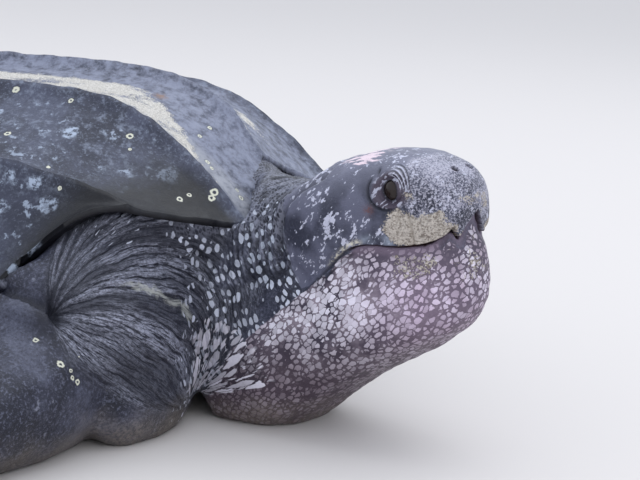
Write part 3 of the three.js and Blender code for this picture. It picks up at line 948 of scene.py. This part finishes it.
def giveMarks(mesh, points, places, share, face, fan, fanRelief, neckRelief, foldPaintedShade, foldHeight, foldAlong):
    # values that the finish reads, three to a name
    ahead, side, up = places[:, 0], np.abs(places[:, 1]), places[:, 2]
    rise, isMouth = overMouth(places)
    giveValues(mesh, "headPlace", *(places.T / 1000))
    giveValues(mesh, "foldPlace", foldHeight, foldAlong, fanRelief)
    # the third value is painted shade in the grooves, creases and hollows of the face and shoulder
    giveValues(mesh, "lidMarksAndShade", face["lid"], face["stripe"], np.clip(face["dark"] + foldPaintedShade, 0, 1))

    upperHead = share["face"] * smoothStep(-2, 2, rise)
    blotch = 0.53 + 0.17 * hump(np.hypot(ahead + 98, up + 58), 50) + 0.18 * hump(
        np.hypot(ahead + 110, up - 28), 34
    )
    blotch += 0.16 * hump(np.hypot(ahead - 5, up - 36), 20) + 0.18 * hump(np.hypot(ahead - 52, up + 30), 22)
    blotch -= 0.20 * hump(np.hypot((ahead + 45) / 1.5, up - 5), 26)
    snout = smoothStep(8, 34, ahead) * smoothStep(44, 26, up)
    drift = 9 * lumps(points, 0.022, 3, 71)
    backLimit, upLimit = ahead + drift + 0.45 * (up + 60), up + drift + 0.012 * (ahead - 22) ** 2
    beak = smoothStep(-22, -4, backLimit) * smoothStep(80, 56, ahead + drift) * smoothStep(-22, -44, upLimit)
    beak = np.maximum(beak, 0.75 * hump(np.hypot(ahead - 27, up + 17), 11))
    beak = np.maximum(beak, 0.55 * smoothStep(70, 86, ahead) * smoothStep(-10, -30, up))
    drip = smoothStep(-24, -6, ahead + drift) * smoothStep(60, 36, ahead + drift) * smoothStep(-8, -14, rise)
    drip *= smoothStep(-62, -26, rise + drift)
    chin = smoothStep(38, 60, ahead) * smoothStep(-16, -30, rise) * smoothStep(-110, -70, rise)
    sand = np.maximum(beak * (rise > -1), np.maximum(0.62 * drip, 0.42 * chin) * share["front"])
    giveValues(mesh, "faceMarks", blotch * upperHead * (1 - face["lid"]), snout * upperHead, sand)

    crown = hump(ahead + 52, 24) * smoothStep(30, 38, up)
    red = hump(np.linalg.norm(places - (-27, -95, -27), axis=1), 6)
    blue = smoothStep(-50, -40, ahead) * smoothStep(0, -12, ahead)
    blue = blue * smoothStep(0, 3, rise) * smoothStep(17, 9, rise)
    giveValues(mesh, "tintMarks", crown, red, blue * share["face"])
    cornerPale = smoothStep(-44, -52, ahead) * smoothStep(-112, -92, ahead)
    cornerPale = cornerPale * hump(rise - 4.5, 3.2) * (side > 45)
    lipReach = 7 * smoothStep(40, 55, ahead)
    # the second value is painted shade inside the mouth gap and the nostrils
    giveValues(
        mesh,
        "mouthMarksAndShade",
        face["lip"] * smoothStep(-17, -12, rise + lipReach),
        np.maximum(face["gap"], face["hole"]),
        cornerPale,
    )

    turn, way, rays = fromPinch(points)
    giveValues(mesh, "pinchPlace", turn, way, rays)
    ragged = rise + 9 * lumps(points, 0.020, 3, 72) * smoothStep(-60, -110, ahead)
    below = share["front"] * smoothStep(-2, -9, ragged) * smoothStep(-270, -220, ahead)
    below *= 1 - smoothStep(40, 55, ahead) * smoothStep(-22, -16, rise)
    tile = np.clip(np.maximum(share["throat"] * (rise < 0), below), 0, 1)
    tile *= 1 - smoothStep(0, 1, face["gap"])
    pink = hump(np.linalg.norm(np.stack([ahead - 14, up + 168], 1), axis=1), 72)
    white = hump(np.linalg.norm(np.stack([(ahead + 112) / 1.35, up + 152], 1), axis=1), 72)
    giveValues(mesh, "throatMarks", tile, pink, white)

    across = points[:, 0] * foldShape["across"][0] - np.abs(points[:, 1]) * foldShape["across"][1]
    spotted = smoothStep(0.500, 0.548, across + 0.5 * np.clip(points[:, 2] - 0.22, 0, 0.1))
    spotted = spotted * np.clip(1 - share["face"], 0, 1) * smoothStep(0.30, 0.5, points[:, 0])
    spotted *= smoothStep(0.355, 0.295, points[:, 2])
    spotted = 0.75 * spotted + 0.45 * spotted * hump(np.hypot(across - 0.610, points[:, 2] - 0.185), 0.07)
    neckBlue = hump(np.linalg.norm(np.stack([ahead + 200, up + 66], 1), axis=1), 55)
    fleck = fan * smoothStep(0.255, 0.30, points[:, 2])
    giveValues(mesh, "neckMarks", spotted, neckBlue, neckRelief)
    nuchal = smoothStep(
        0.255, 0.3, points[:, 2]
    ) * smoothStep(0.6, 0.66, points[:, 0]) * (1 - share["face"])
    nuchal *= smoothStep(0.30, 0.24, np.abs(points[:, 1]))
    giveValues(mesh, "bodyMarks", fan, fleck, nuchal)


skinColours = {
    "slate": (0.036, 0.039, 0.064),
    "slateDark": (0.012, 0.013, 0.023),
    "slateLight": (0.105, 0.113, 0.165),
    "headSlate": (0.125, 0.130, 0.192),
    "headTop": (0.205, 0.210, 0.285),
    "foldPale": (0.345, 0.360, 0.455),
    "spot": (0.60, 0.63, 0.75),
    "blotch": (0.56, 0.57, 0.70),
    "net": (0.046, 0.038, 0.062),
    "tile": (0.80, 0.77, 0.88),
    "tilePink": (0.68, 0.53, 0.71),
    "tileGrey": (0.36, 0.30, 0.36),
    "flesh": (0.215, 0.160, 0.225),
    "throatDull": (0.080, 0.050, 0.062),
    "mouthInside": (0.030, 0.012, 0.014),
    "sand": (0.64, 0.58, 0.52),
    "sandDark": (0.22, 0.185, 0.150),
    "snoutGrey": (0.50, 0.49, 0.59),
    "crown": (0.74, 0.60, 0.67),
    "red": (0.17, 0.060, 0.045),
    "bluish": (0.40, 0.46, 0.56),
    "cornerPale": (0.66, 0.62, 0.52),
    "streak": (0.44, 0.45, 0.43),
    "ring": (0.66, 0.66, 0.55),
}
armRings = [
    ((0.550, -0.497, 0.167), 0.0042),
    ((0.590, -0.502, 0.141), 0.0056),
    ((0.597, -0.468, 0.143), 0.0032),
    ((0.601, -0.493, 0.132), 0.0030),
    ((0.603, -0.494, 0.123), 0.0036),
    ((0.607, -0.486, 0.116), 0.0042),
    ((0.617, -0.422, 0.093), 0.0034),
]


def skinFinish():
    c = skinColours
    material, shader = newFinish("darkSkin", **{"Roughness": 0.5, "Specular IOR Level": 0.3})
    place = put("Attribute", attribute_name="headPlace")["Vector"]
    whole = put("TexCoord")["Object"]
    foldHeight, foldAlong, foldRelief = marks("foldPlace")
    lid, stripe, dark = marks("lidMarksAndShade")
    blotchShare, snout, sandShare = marks("faceMarks")
    crown, red, mouthBlue = marks("tintMarks")
    lip, inside, cornerPale = marks("mouthMarksAndShade")
    tileShare, pink, white = marks("throatMarks")
    spotted, neckBlue, neckRelief = marks("neckMarks")
    fan, fleck, nuchal = marks("bodyMarks")
    pinchTurn, pinchFar, rays = marks("pinchPlace")
    notTile = 1.0 - tileShare

    # slate, with cloudy tones and a fine speckle
    clouds = noise(whole, 9, 6.0, 0.65)
    speckle = noise(whole, 230, 4.0, 0.75)
    patches = noise(place, 26, 3.0, 0.55)
    colour = blend(step(clouds, 0.38, 0.64), c["slateDark"], c["slate"])
    colour = blend(step(clouds, 0.52, 0.7) * 0.55, colour, c["slateLight"])
    colour = blend(step(speckle, 0.52, 0.62) * 0.75, colour, c["slateLight"])
    colour = blend(step(speckle, 0.48, 0.38) * 0.55, colour, c["slateDark"])

    mottles = use("raggedBlotches", place=whole, scale=24.0, amount=0.5, softness=0.1)["Mask"]
    colour = blend(mottles * 0.4, colour, c["foldPale"])

    # the shoulder's folds: dark, with fine pale lines running along them as painted highlights on their
    # raised crests, stronger in broad streaks of painted sheen, and painted shade near black in the low
    # creases between them
    arcs = lineSpace(foldHeight, foldAlong, 0.09)
    fine = noise(arcs, 900, 3.0, 0.7)
    middling = noise(arcs, 350, 3.0, 0.65)
    sweeps = noise(lineSpace(foldHeight, foldAlong, 0.16), 26, 2.0, 0.5)
    lines = fine * 0.55 + middling * 0.45 + foldRelief * 0.05
    # painted sheen: broad streaks where the pale fold lines are stronger
    paintedSheen = step(sweeps, 0.42, 0.64, 0.22, 1.0)
    broken = step(speckle, 0.38, 0.58, 0.45, 1.0)
    fanColour = blend(step(lines, 0.46, 0.6) * paintedSheen * broken, c["slateDark"], c["foldPale"])
    # painted shade, near black, in the low creases between the fold lines
    fanColour = blend(step(lines, 0.44, 0.34) * 0.7, fanColour, (0.01, 0.01, 0.018))
    colour = blend(fan * 0.92, colour, fanColour)
    bow = foldHeight + foldAlong * 0.137 - 0.0989 + (noise(place, 70) - 0.5) * 0.018
    bow = step(abs(bow), 0.005, 0.001)
    bowLength = step(foldAlong, -0.105, -0.07) * step(foldAlong, 0.055, 0.02)
    bow = bow * bowLength * step(middling, 0.36, 0.56) * 0.75
    colour = blend(bow, colour, c["streak"])

    # upright pleats of the neck, lighter on their crests and darker in their valleys as painted shade, with a
    # fine pale net on it and on the fold behind it
    neckPart = smaller(abs(neckRelief) * 1.6, 1.0)
    netPart = larger(neckPart, nuchal)
    netPlace = stretched(place, (0, 8, 0), (1.3, 1.0, 0.5))
    cells = use("paleScales", place=netPlace, scale=190.0, net=0.06, softness=0.16, round=0.0)["Mask"]
    netLines = (1.0 - cells) * netPart
    # painted shade: the tone follows the pleats, darker in their valleys, over random patches
    neckToneAndShade = neckRelief * 0.22 + patches * 0.9
    neckColour = blend(step(neckToneAndShade, 0.42, 0.85), c["slateDark"], c["slateLight"])
    colour = blend(netPart * 0.85, colour, neckColour)
    netShown = netLines * step(patches + nuchal * 0.1, 0.42, 0.62) * 0.44
    colour = blend(netShown, colour, c["foldPale"])

    # pale spots on the front of the shoulder and the neck, closer together and larger towards the throat
    upright = stretched(place, (0, 8, 0), (1.0, 0.85, 0.62))
    spotNet = step(spotted, 0.0, 1.0, 0.44, 0.06)
    spotShape = {"softness": 0.06, "ragged": (0.25, 0.25, 0.25), "round": 1.1}
    spots = use("paleScales", place=upright, scale=102.0, net=spotNet + patches * 0.16 - 0.08, **spotShape)
    spotTone = step(spots["Tone"], 0, 1, 0.6, 1.0)
    spotMask = spots["Mask"] * step(spotted, 0.02, 0.2)
    spotColour = blend(neckBlue * 0.7, c["spot"], c["bluish"])
    colour = blend(spotMask * spotTone, colour, spotColour)
    long = lineSpace(foldHeight, foldAlong, 0.42)
    flecks = use("paleScales", place=long, scale=92.0, net=step(fleck, 0.0, 1.0, 0.42, 0.24), softness=0.07)
    fleckMask = flecks["Mask"] * step(fleck, 0.02, 0.3) * step(patches, 0.38, 0.56) * notTile
    colour = blend(fleckMask * 0.85, colour, c["spot"])

    # head: smooth slate, lighter on top as painted sheen, with ragged white flecks that slant up and forward
    onHead = step(blotchShare, 0.02, 0.14)
    headTone = noise(place, 24, 4.0, 0.5)
    headColour = blend(step(headTone, 0.36, 0.62), c["slate"], c["headSlate"])
    headUp = put("SeparateXYZ", {"Vector": place})[2]
    # painted sheen: the upper part of the head is painted lighter
    headColour = blend(step(headUp, -0.03, 0.05, 0.0, 0.75), headColour, c["headTop"])
    headColour = blend(step(speckle, 0.54, 0.66) * 0.35, headColour, c["slateLight"])
    colour = blend(onHead * 0.9, colour, headColour)
    slanted = stretched(place, (0, 42, 0), (0.55, 0.8, 1.15))
    blotches = use("raggedBlotches", place=slanted, scale=64.0, amount=blotchShare, softness=0.03)
    blotchMask = blotches["Mask"] * onHead
    colour = blend(blotchMask * step(speckle, 0.3, 0.52, 0.55, 1.0), colour, c["blotch"])
    grain = noise(place, 400, 3.0, 0.7)
    pebbles = grain * 0.75 + headTone * 0.25
    snoutPart = step(snout + (patches - 0.5) * 0.8, 0.15, 0.75)
    colour = blend(step(pebbles, 0.45, 0.58) * snoutPart * 0.85, colour, c["snoutGrey"])
    colour = blend(step(pebbles, 0.45, 0.37) * snoutPart * 0.5, colour, c["slateDark"])

    # throat: pale scales in a dark net, white behind, pink in front, dull below
    slope = stretched(place, (0, 35, 0), (0.74, 0.9, 1.1))
    tileNet = 0.035 + (patches - 0.5) * -0.32 + notTile * 0.08 + white * -0.11
    tileShape = {"softness": 0.07, "ragged": (0.7, 0.7, 0.7), "round": 0.40}
    tiles = use("paleScales", place=slope, scale=120.0, net=tileNet, **tileShape)
    small = use("paleScales", place=stretched(slope, shift=(3, 5, 7)), scale=190.0, net=0.13, softness=0.1)
    tileColour = blend(white, c["tileGrey"], c["tile"])
    tileColour = blend(
        step(patches, 0.42, 0.62) * step(headUp, -0.26, -0.15, 0.3, 1.0), tileColour, c["tile"]
    )
    tileColour = blend(pink * 0.75, tileColour, c["tilePink"])
    netColour = blend(pink * 0.9, c["net"], c["flesh"])
    netColour = blend(white * step(patches, 0.36, 0.58) * 0.9, netColour, c["tileGrey"])
    netColour = blend(small["Mask"] * step(patches, 0.35, 0.65) * 0.4, netColour, c["tileGrey"])
    bright = step(tiles["Tone"], 0, 1, 0.6, 1.0)
    throatColour = blend(tiles["Mask"] * bright, netColour, tileColour)
    dull = step(headUp, -0.165, -0.24, 0.0, 0.5) * (1.0 - white)
    throatColour = blend(dull, throatColour, c["throatDull"])
    colour = blend(step(tileShare, 0.35, 0.6), colour, throatColour)

    # long pale rays where the throat meets the shoulder low down
    raySpace = lineSpace(pinchTurn * 0.1, pinchFar, 0.26)
    rayNet = step(rays, 0.05, 0.5, 0.26, -0.04)
    rayScales = use(
        "paleScales", place=raySpace, scale=105.0, net=rayNet, softness=0.08, ragged=(0.9, 0.9, 0.9)
    )
    rayMask = rayScales["Mask"] * step(rays, 0.05, 0.3)
    colour = blend(step(rays, 0.2, 0.8) * 0.35, colour, c["slateDark"])
    colour = blend(rayMask * step(rayScales["Tone"], 0, 1, 0.5, 0.85), colour, c["tile"])

    # marks of the face, then painted shade in the grooves, creases and hollows of the face and shoulder, in
    # the mouth gap and in the nostrils
    crownFlecks = noise(stretched(place, (0, 0, -17), (0.5, 1.2, 1.0)), 90, 4.0, 0.6)
    crownMask = step(crownFlecks + crown * 0.22, 0.6, 0.68) * step(crown, 0.05, 0.4)
    lidFlecks = step(noise(slanted, 170, 2.0), 0.56, 0.62)
    colour = blend(crownMask, colour, c["crown"])
    colour = blend(mouthBlue * step(headTone, 0.4, 0.6) * 0.8, colour, c["bluish"])
    colour = blend(cornerPale * step(speckle, 0.42, 0.56), colour, c["cornerPale"])
    colour = blend(lip * 0.9, colour, c["flesh"])
    colour = blend(red * step(grain, 0.4, 0.55) * 0.8, colour, c["red"])
    lidColour = blend(lidFlecks * 0.8, blend(0.3, c["slateDark"], c["flesh"]), c["blotch"])
    colour = blend(lid * 0.88, colour, lidColour)
    colour = blend(stripe * 0.85, colour, c["blotch"])
    ring, within = ringsOn(whole, armRings)
    colour = blend(within * 0.5, colour, c["slateDark"])
    colour = blend(ring * 0.85, colour, c["ring"])
    # painted shade in the grooves, creases and hollows of the face and shoulder
    colour = blend(dark * 0.85, colour, c["slateDark"])
    # painted shade, near black and a little red, in the mouth gap and the nostrils
    colour = blend(inside, colour, c["mouthInside"])

    # sand: a crust on the beak and chin, dust low down
    crustAmount = sandShare * 0.8 + (patches - 0.5) * 0.9
    crust = use("looseSand", place=place, scale=62.0, amount=crustAmount)
    crustMask = crust["Mask"] * step(sandShare, 0.04, 0.35)
    lumpy = noise(place, 130, 4.0, 0.7)
    crustTone = crust["Tone"] * 0.4 + lumpy * 1.1
    crustColour = blend(step(crustTone, 0.45, 0.95), c["sandDark"], c["sand"])
    colour = blend(crustMask * 0.92, colour, crustColour)
    # the same painted shade in the grooves, over the sand crust
    colour = blend(dark * crustMask * 0.75, colour, c["sandDark"])
    low = put("SeparateXYZ", {"Vector": whole})[2]
    dust = step(low + noise(whole, 14) * 0.1, 0.12, 0.045) * step(speckle, 0.35, 0.65, 0.2, 0.7)
    colour = blend(dust, colour, c["sandDark"])

    # relief, in millimetres
    creases = use("fineCreases", place=whole, scale=310.0)["Relief"]
    netting = use("fineCreases", place=whole, scale=130.0)["Relief"]
    height = creases * 0.2 + netting * 0.14 + speckle * 0.75 + lines * fan * 2.4 + netLines * -0.9
    height = height + tiles["Mask"] * tileShare * 0.55 + rayMask * 0.6
    height = height + grain * snoutPart * 1.8 + crustTone * crustMask * 2.4
    roughness = smaller(0.36 + speckle * 0.16 + crustMask * 0.35 + tileShare * 0.1, 0.95)
    painted(shader, colour, roughness, height)
    return material


shellShape = {
    "rows": 270,
    "columns": 240,
    "ridgeHeight": 0.011,
    "crestShare": 0.15,
    "thickness": (0.030, 0.009),
    "knob": 0.0016,
    "underTriangles": 24000,
}
medianRidge = [(-800, 0, 160), (-600, 0, 276), (-300, 0, 398), (50, 0, 460), (350, 0, 474), (505, 0, 463)]
medianRidge += [(592, 0, 427), (657, 0, 366)]
innerRidge = [
    (-800, 9, 158), (-600, 75, 254), (-300, 120, 372), (50, 130, 436), (350, 146, 446), (500, 166, 434)
]
innerRidge += [(606, 178, 379), (712, 190, 294)]
outerRidge = [
    (-798, 17, 155), (-600, 160, 204), (-300, 265, 290), (30, 306, 341), (270, 322, 362), (400, 329, 359)
]
outerRidge += [(505, 333, 343), (598, 338, 326)]
marginRidge = [
    (-796, 25, 150), (-600, 225, 156), (-320, 375, 166), (-10, 433, 174), (220, 443, 180), (350, 441, 186)
]
marginRidge += [(440, 437, 204), (486, 428, 254)]


def shellPoints(along, across, height):
    place = np.minimum(np.abs(across), 2.9999)
    strip = np.floor(place).astype(int)
    share = (place - strip)[:, None]
    lines = np.stack(
        [curveThrough(line, along) for line in (medianRidge, innerRidge, outerRidge, marginRidge)]
    ) / 1000
    index = np.arange(len(along))
    points = lines[strip, index] * (1 - share) + lines[strip + 1, index] * share
    share = share[:, 0]
    fade = np.minimum(1, along * 4) * np.minimum(1, 0.45 + (1 - along) * 5)
    crest = np.maximum(0, 1 - np.minimum(share, 1 - share) / shellShape["crestShare"]) ** 2
    middle = 4 * share * (1 - share)
    points[:, 2] += crest * height * fade - 0.005 * middle * fade + np.where(
        strip == 2, 0.026 * middle * along ** 6, 0
    )
    points[:, 1] *= np.where(across < 0, -1, 1)
    return points, crest * fade


def makeShell():
    shape = bmesh.new()
    bmesh.ops.create_grid(shape, x_segments=shellShape["rows"], y_segments=shellShape["columns"], size=0.5)
    raised = bmesh.ops.extrude_face_region(shape, geom=list(shape.faces), use_keep_orig=True)["geom"]
    shape.verts.index_update()
    isUpper = np.zeros(len(shape.verts), bool)
    isUpper[[part.index for part in raised if isinstance(part, bmesh.types.BMVert)]] = True
    grid = np.array([vertex.co for vertex in shape.verts])
    along = 1 - (0.5 - np.clip(grid[:, 0], -0.5, 0.5)) ** 1.15
    across = np.clip(grid[:, 1] * 6, -3, 3)
    top, crest = shellPoints(along, across, shellShape["ridgeHeight"])
    bottom, unused = shellPoints(along, across, 0)
    rim = np.maximum(smoothStep(2.4, 3, np.abs(across)), smoothStep(0.88, 1, along))
    thick, thin = shellShape["thickness"]
    bottom[:, 2] -= thick + (thin - thick) * rim
    points = np.where(isUpper[:, None], top, bottom)
    for vertex, point in zip(shape.verts, points):
        vertex.co = point
    bmesh.ops.recalc_face_normals(shape, faces=shape.faces)
    mesh = meshFrom(shape, "carapaceSkin")

    # knobs along the ridges, faint furrows along the strips, an uneven rim
    normals = normalsOf(mesh)
    furrows = lumps(np.stack([points[:, 0] * 0.12, across * 0.02, across * 0], 1), 0.004, 2, 51)
    push = shellShape["knob"] * crest**0.5 * (lumps(points, 0.028, 2, 52) + 0.4)
    push += 0.0005 * furrows + 0.0022 * lumps(points, 0.12, 2, 53) + 0.0006 * lumps(points, 0.022, 2, 54)
    push += 0.0015 * rim * lumps(points, 0.03, 2, 55)
    points = points + normals * (push * isUpper)[:, None]
    setPoints(mesh, points)
    giveValues(mesh, "shellPlace", along, across, crest)
    giveValues(mesh, "under", 1.0 - isUpper)
    return thinned("carapaceSkin", mesh, "under", shellShape["underTriangles"])


shellColours = {
    "slate": (0.066, 0.074, 0.116),
    "slateDark": (0.024, 0.027, 0.046),
    "slateTop": (0.245, 0.265, 0.355),
    # painted shadow for the front corner of the shell
    "corner": (0.006, 0.006, 0.008),
    "pale": (0.20, 0.23, 0.31),
    "mottle": (0.40, 0.47, 0.60),
    "wornGrey": (0.30, 0.31, 0.35),
    "sand": (0.84, 0.81, 0.76),
    "sandDark": (0.46, 0.43, 0.39),
    "ring": (0.68, 0.68, 0.56),
    "rust": (0.24, 0.14, 0.09),
}
shellRings = [
    ((0.529, -0.198, 0.401), 0.0056),
    ((0.539, -0.217, 0.386), 0.0034),
    ((0.628, -0.141, 0.368), 0.0046),
    ((0.637, -0.146, 0.360), 0.0036),
    ((0.595, -0.099, 0.398), 0.0041),
    ((0.595, -0.064, 0.406), 0.0038),
    ((0.631, -0.241, 0.327), 0.0051),
    ((0.637, -0.223, 0.331), 0.0039),
    ((0.663, -0.194, 0.334), 0.0064),
    ((0.663, -0.202, 0.327), 0.0054),
    ((0.685, -0.146, 0.322), 0.0046),
    ((0.675, -0.138, 0.331), 0.0033),
    ((0.456, -0.303, 0.363), 0.0038),
    ((0.494, -0.341, 0.341), 0.0038),
    ((0.417, -0.170, 0.440), 0.0048),
    ((0.361, -0.253, 0.393), 0.0057),
    ((0.316, -0.155, 0.446), 0.0066),
]


def shellFinish():
    c = shellColours
    material, shader = newFinish("shellSkin", **{"Roughness": 0.45, "Specular IOR Level": 0.3})
    place = put("TexCoord")["Object"]
    along, across, crest = marks("shellPlace")
    clouds = noise(place, 9, 6.0, 0.65)
    speckle = noise(place, 210, 4.0, 0.75)
    freckles = noise(place, 60, 5.0, 0.7)
    colour = blend(step(clouds, 0.38, 0.62), c["slateDark"], c["slate"])
    colour = blend(step(freckles, 0.5, 0.68) * 0.65, colour, c["pale"])
    colour = blend(step(speckle, 0.54, 0.66) * 0.55, colour, c["pale"])
    colour = blend(step(speckle, 0.46, 0.34) * 0.6, colour, c["slateDark"])

    # painted sheen: the top strips between the two inner ridges are painted lighter
    top = step(abs(across), 1.02, 0.9)
    colour = blend(top * step(freckles, 0.3, 0.6) * 0.7, colour, c["slateTop"])

    # pale clusters low on the sides, more of them towards the rim; painted shade on the low sides, and a
    # painted shadow, near black and a little glossier, on the front corner where the shell turns down
    side = step(abs(across), 0.98, 1.15)
    # painted shadow: the front corner, where the shell turns down, is painted near black
    corner = step(along + freckles * 0.12, 0.86, 0.99) * side
    # painted shade: the low sides of the shell are painted darker
    paintedSideShade = step(abs(across) + clouds * 0.8, 2.1, 2.8)
    colour = blend(paintedSideShade * 0.5, colour, c["slateDark"])
    colour = blend(corner * 0.94, colour, c["corner"])
    clusters = use("paleRosettes", place=place, scale=27.0, amount=0.34)["Mask"]
    elsewhere = stretched(place, shift=(3.1, 1.7, 0.4))
    patches = use("raggedBlotches", place=elsewhere, scale=24.0, amount=0.5, softness=0.06)["Mask"]
    mottle = larger(clusters, patches * 0.7) * side * (1.0 - corner)
    colour = blend(mottle * 0.85, colour, c["mottle"])
    rim = step(abs(across), 2.72, 2.95) * step(along, 0.6, 0.7)
    rimMarks = rim * step(noise(place, 34, 4.0, 0.6), 0.5, 0.6)
    colour = blend(rimMarks * 0.75, colour, c["mottle"])

    # painted sheen: the outer slope of the strip beside the middle ridge is painted a paler grey
    paintedSheen = step(across, -0.98, -0.9) * step(across, -0.6, -0.8)
    colour = blend(paintedSheen * step(freckles, 0.3, 0.6, 0.35, 0.85), colour, c["wornGrey"])
    rust = step(farFrom(place, (0.51, -0.06, 0.445)), 0.016, 0.004)
    colour = blend(rust * step(speckle, 0.42, 0.56) * 0.8, colour, c["rust"])
    ring, within = ringsOn(place, shellRings)
    colour = blend(within * 0.6, colour, c["slateDark"])
    colour = blend(ring * 0.85, colour, c["ring"])

    # sand lying on the two middle strips, thinning forwards
    reach = step(along, 0.66, 0.97, -0.3, -0.86)
    onRight = step(across, -1.0, -0.95) * step(reach - across, -0.02, 0.16)
    onLeft = step(across, 0.04, 0.14) * step(across, 0.9, 0.25) * step(along, 0.72, 0.85) * 0.8
    forward = step(along, 1.0, 0.8, 0.2, 1.0)
    lying = larger(onRight, onLeft) * forward * step(along, 0.05, 0.3, 0.3, 1.0)
    drifts = noise(stretched(place, (0, 0, 0), (0.35, 1.0, 1.0)), 30, 4.0, 0.6)
    thick = lying * 0.68 + (drifts - 0.5) * 2.0
    sand = use("looseSand", place=place, scale=90.0, amount=thick)
    sandMask = sand["Mask"] * step(lying, 0.05, 0.35)
    sandColour = blend(sand["Tone"], c["sandDark"], c["sand"])
    colour = blend(sandMask * 0.92, colour, sandColour)

    creases = use("fineCreases", place=place, scale=240.0)["Relief"]
    height = creases * 0.12 + speckle * 0.4 + freckles * 0.8 + clouds * 1.5 + mottle * 0.35
    height = height + sand["Relief"] * sandMask * 1.2
    painted(shader, colour, 0.34 + speckle * 0.22 + sandMask * 0.4 + corner * -0.04, height)
    return material


plastronColours = {"pale": (0.42, 0.36, 0.35), "dark": (0.16, 0.14, 0.16)}
eyeColours = {"ball": (0.010, 0.007, 0.007), "iris": (0.026, 0.016, 0.013)}
floorLook = {"size": 60.0, "colour": (0.64, 0.61, 0.60), "roughness": 0.95}


def makePlastron():
    plate = mergedCopy(["plastron"], "plate")
    mesh = withModifier("plastronPlate", plate, "REMESH", mode="VOXEL", voxel_size=0.01)
    points = relaxed(pointsOf(mesh), edgesOf(mesh), 20)
    points += normalsOf(mesh) * (0.0012 * lumps(points, 0.05, 2, 61))[:, None]
    points[:, 2] = np.maximum(points[:, 2], 0)
    setPoints(mesh, points)
    return mesh


def plastronFinish():
    material, shader = newFinish("plastronSkin", Roughness=0.6)
    place = put("TexCoord")["Object"]
    shade = step(noise(place, 14, 4.0, 0.6), 0.35, 0.62)
    colour = blend(shade, plastronColours["dark"], plastronColours["pale"])
    painted(shader, colour, height=noise(place, 160, 3.0) * 0.6)
    return material


def eyeFinish():
    material, shader = newFinish("wetEye", **{"Roughness": 0.10, "Specular IOR Level": 0.35})
    painted(shader, blend(noise(put("TexCoord")["Object"], 300, 2.0), eyeColours["ball"], eyeColours["iris"]))
    return material


def makeEye(name, node, finish):
    low, high = (Vector(corner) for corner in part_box(node))
    shape = bmesh.new()
    bmesh.ops.create_uvsphere(shape, u_segments=48, v_segments=32, radius=eyeShape["ball"] / 1000)
    bmesh.ops.translate(shape, verts=shape.verts, vec=(low + high) / 2)
    finishPiece(name, meshFrom(shape, name), finish, "eye", node)


def makeFloor():
    shape = bmesh.new()
    bmesh.ops.create_grid(shape, x_segments=1, y_segments=1, size=floorLook["size"])
    mesh = meshFrom(shape, "floor")
    finish, shader = newFinish("floorPaint", Roughness=floorLook["roughness"])
    plug(floorLook["colour"], shader.inputs["Base Color"])
    mesh.materials.append(finish)
    linked("floor", mesh)


finishPiece("turtleSkin", makeSkin(), skinFinish(), "dark_skin", *fleshNodes)
finishPiece("carapaceSkin", makeShell(), shellFinish(), "shell_skin", "carapace")
finishPiece("plastronPlate", makePlastron(), plastronFinish(), "plastron_skin", "plastron")
wetEye = eyeFinish()
makeEye("eyeRight", "eye_right", wetEye)
makeEye("eyeLeft", "eye_left", wetEye)
makeFloor()
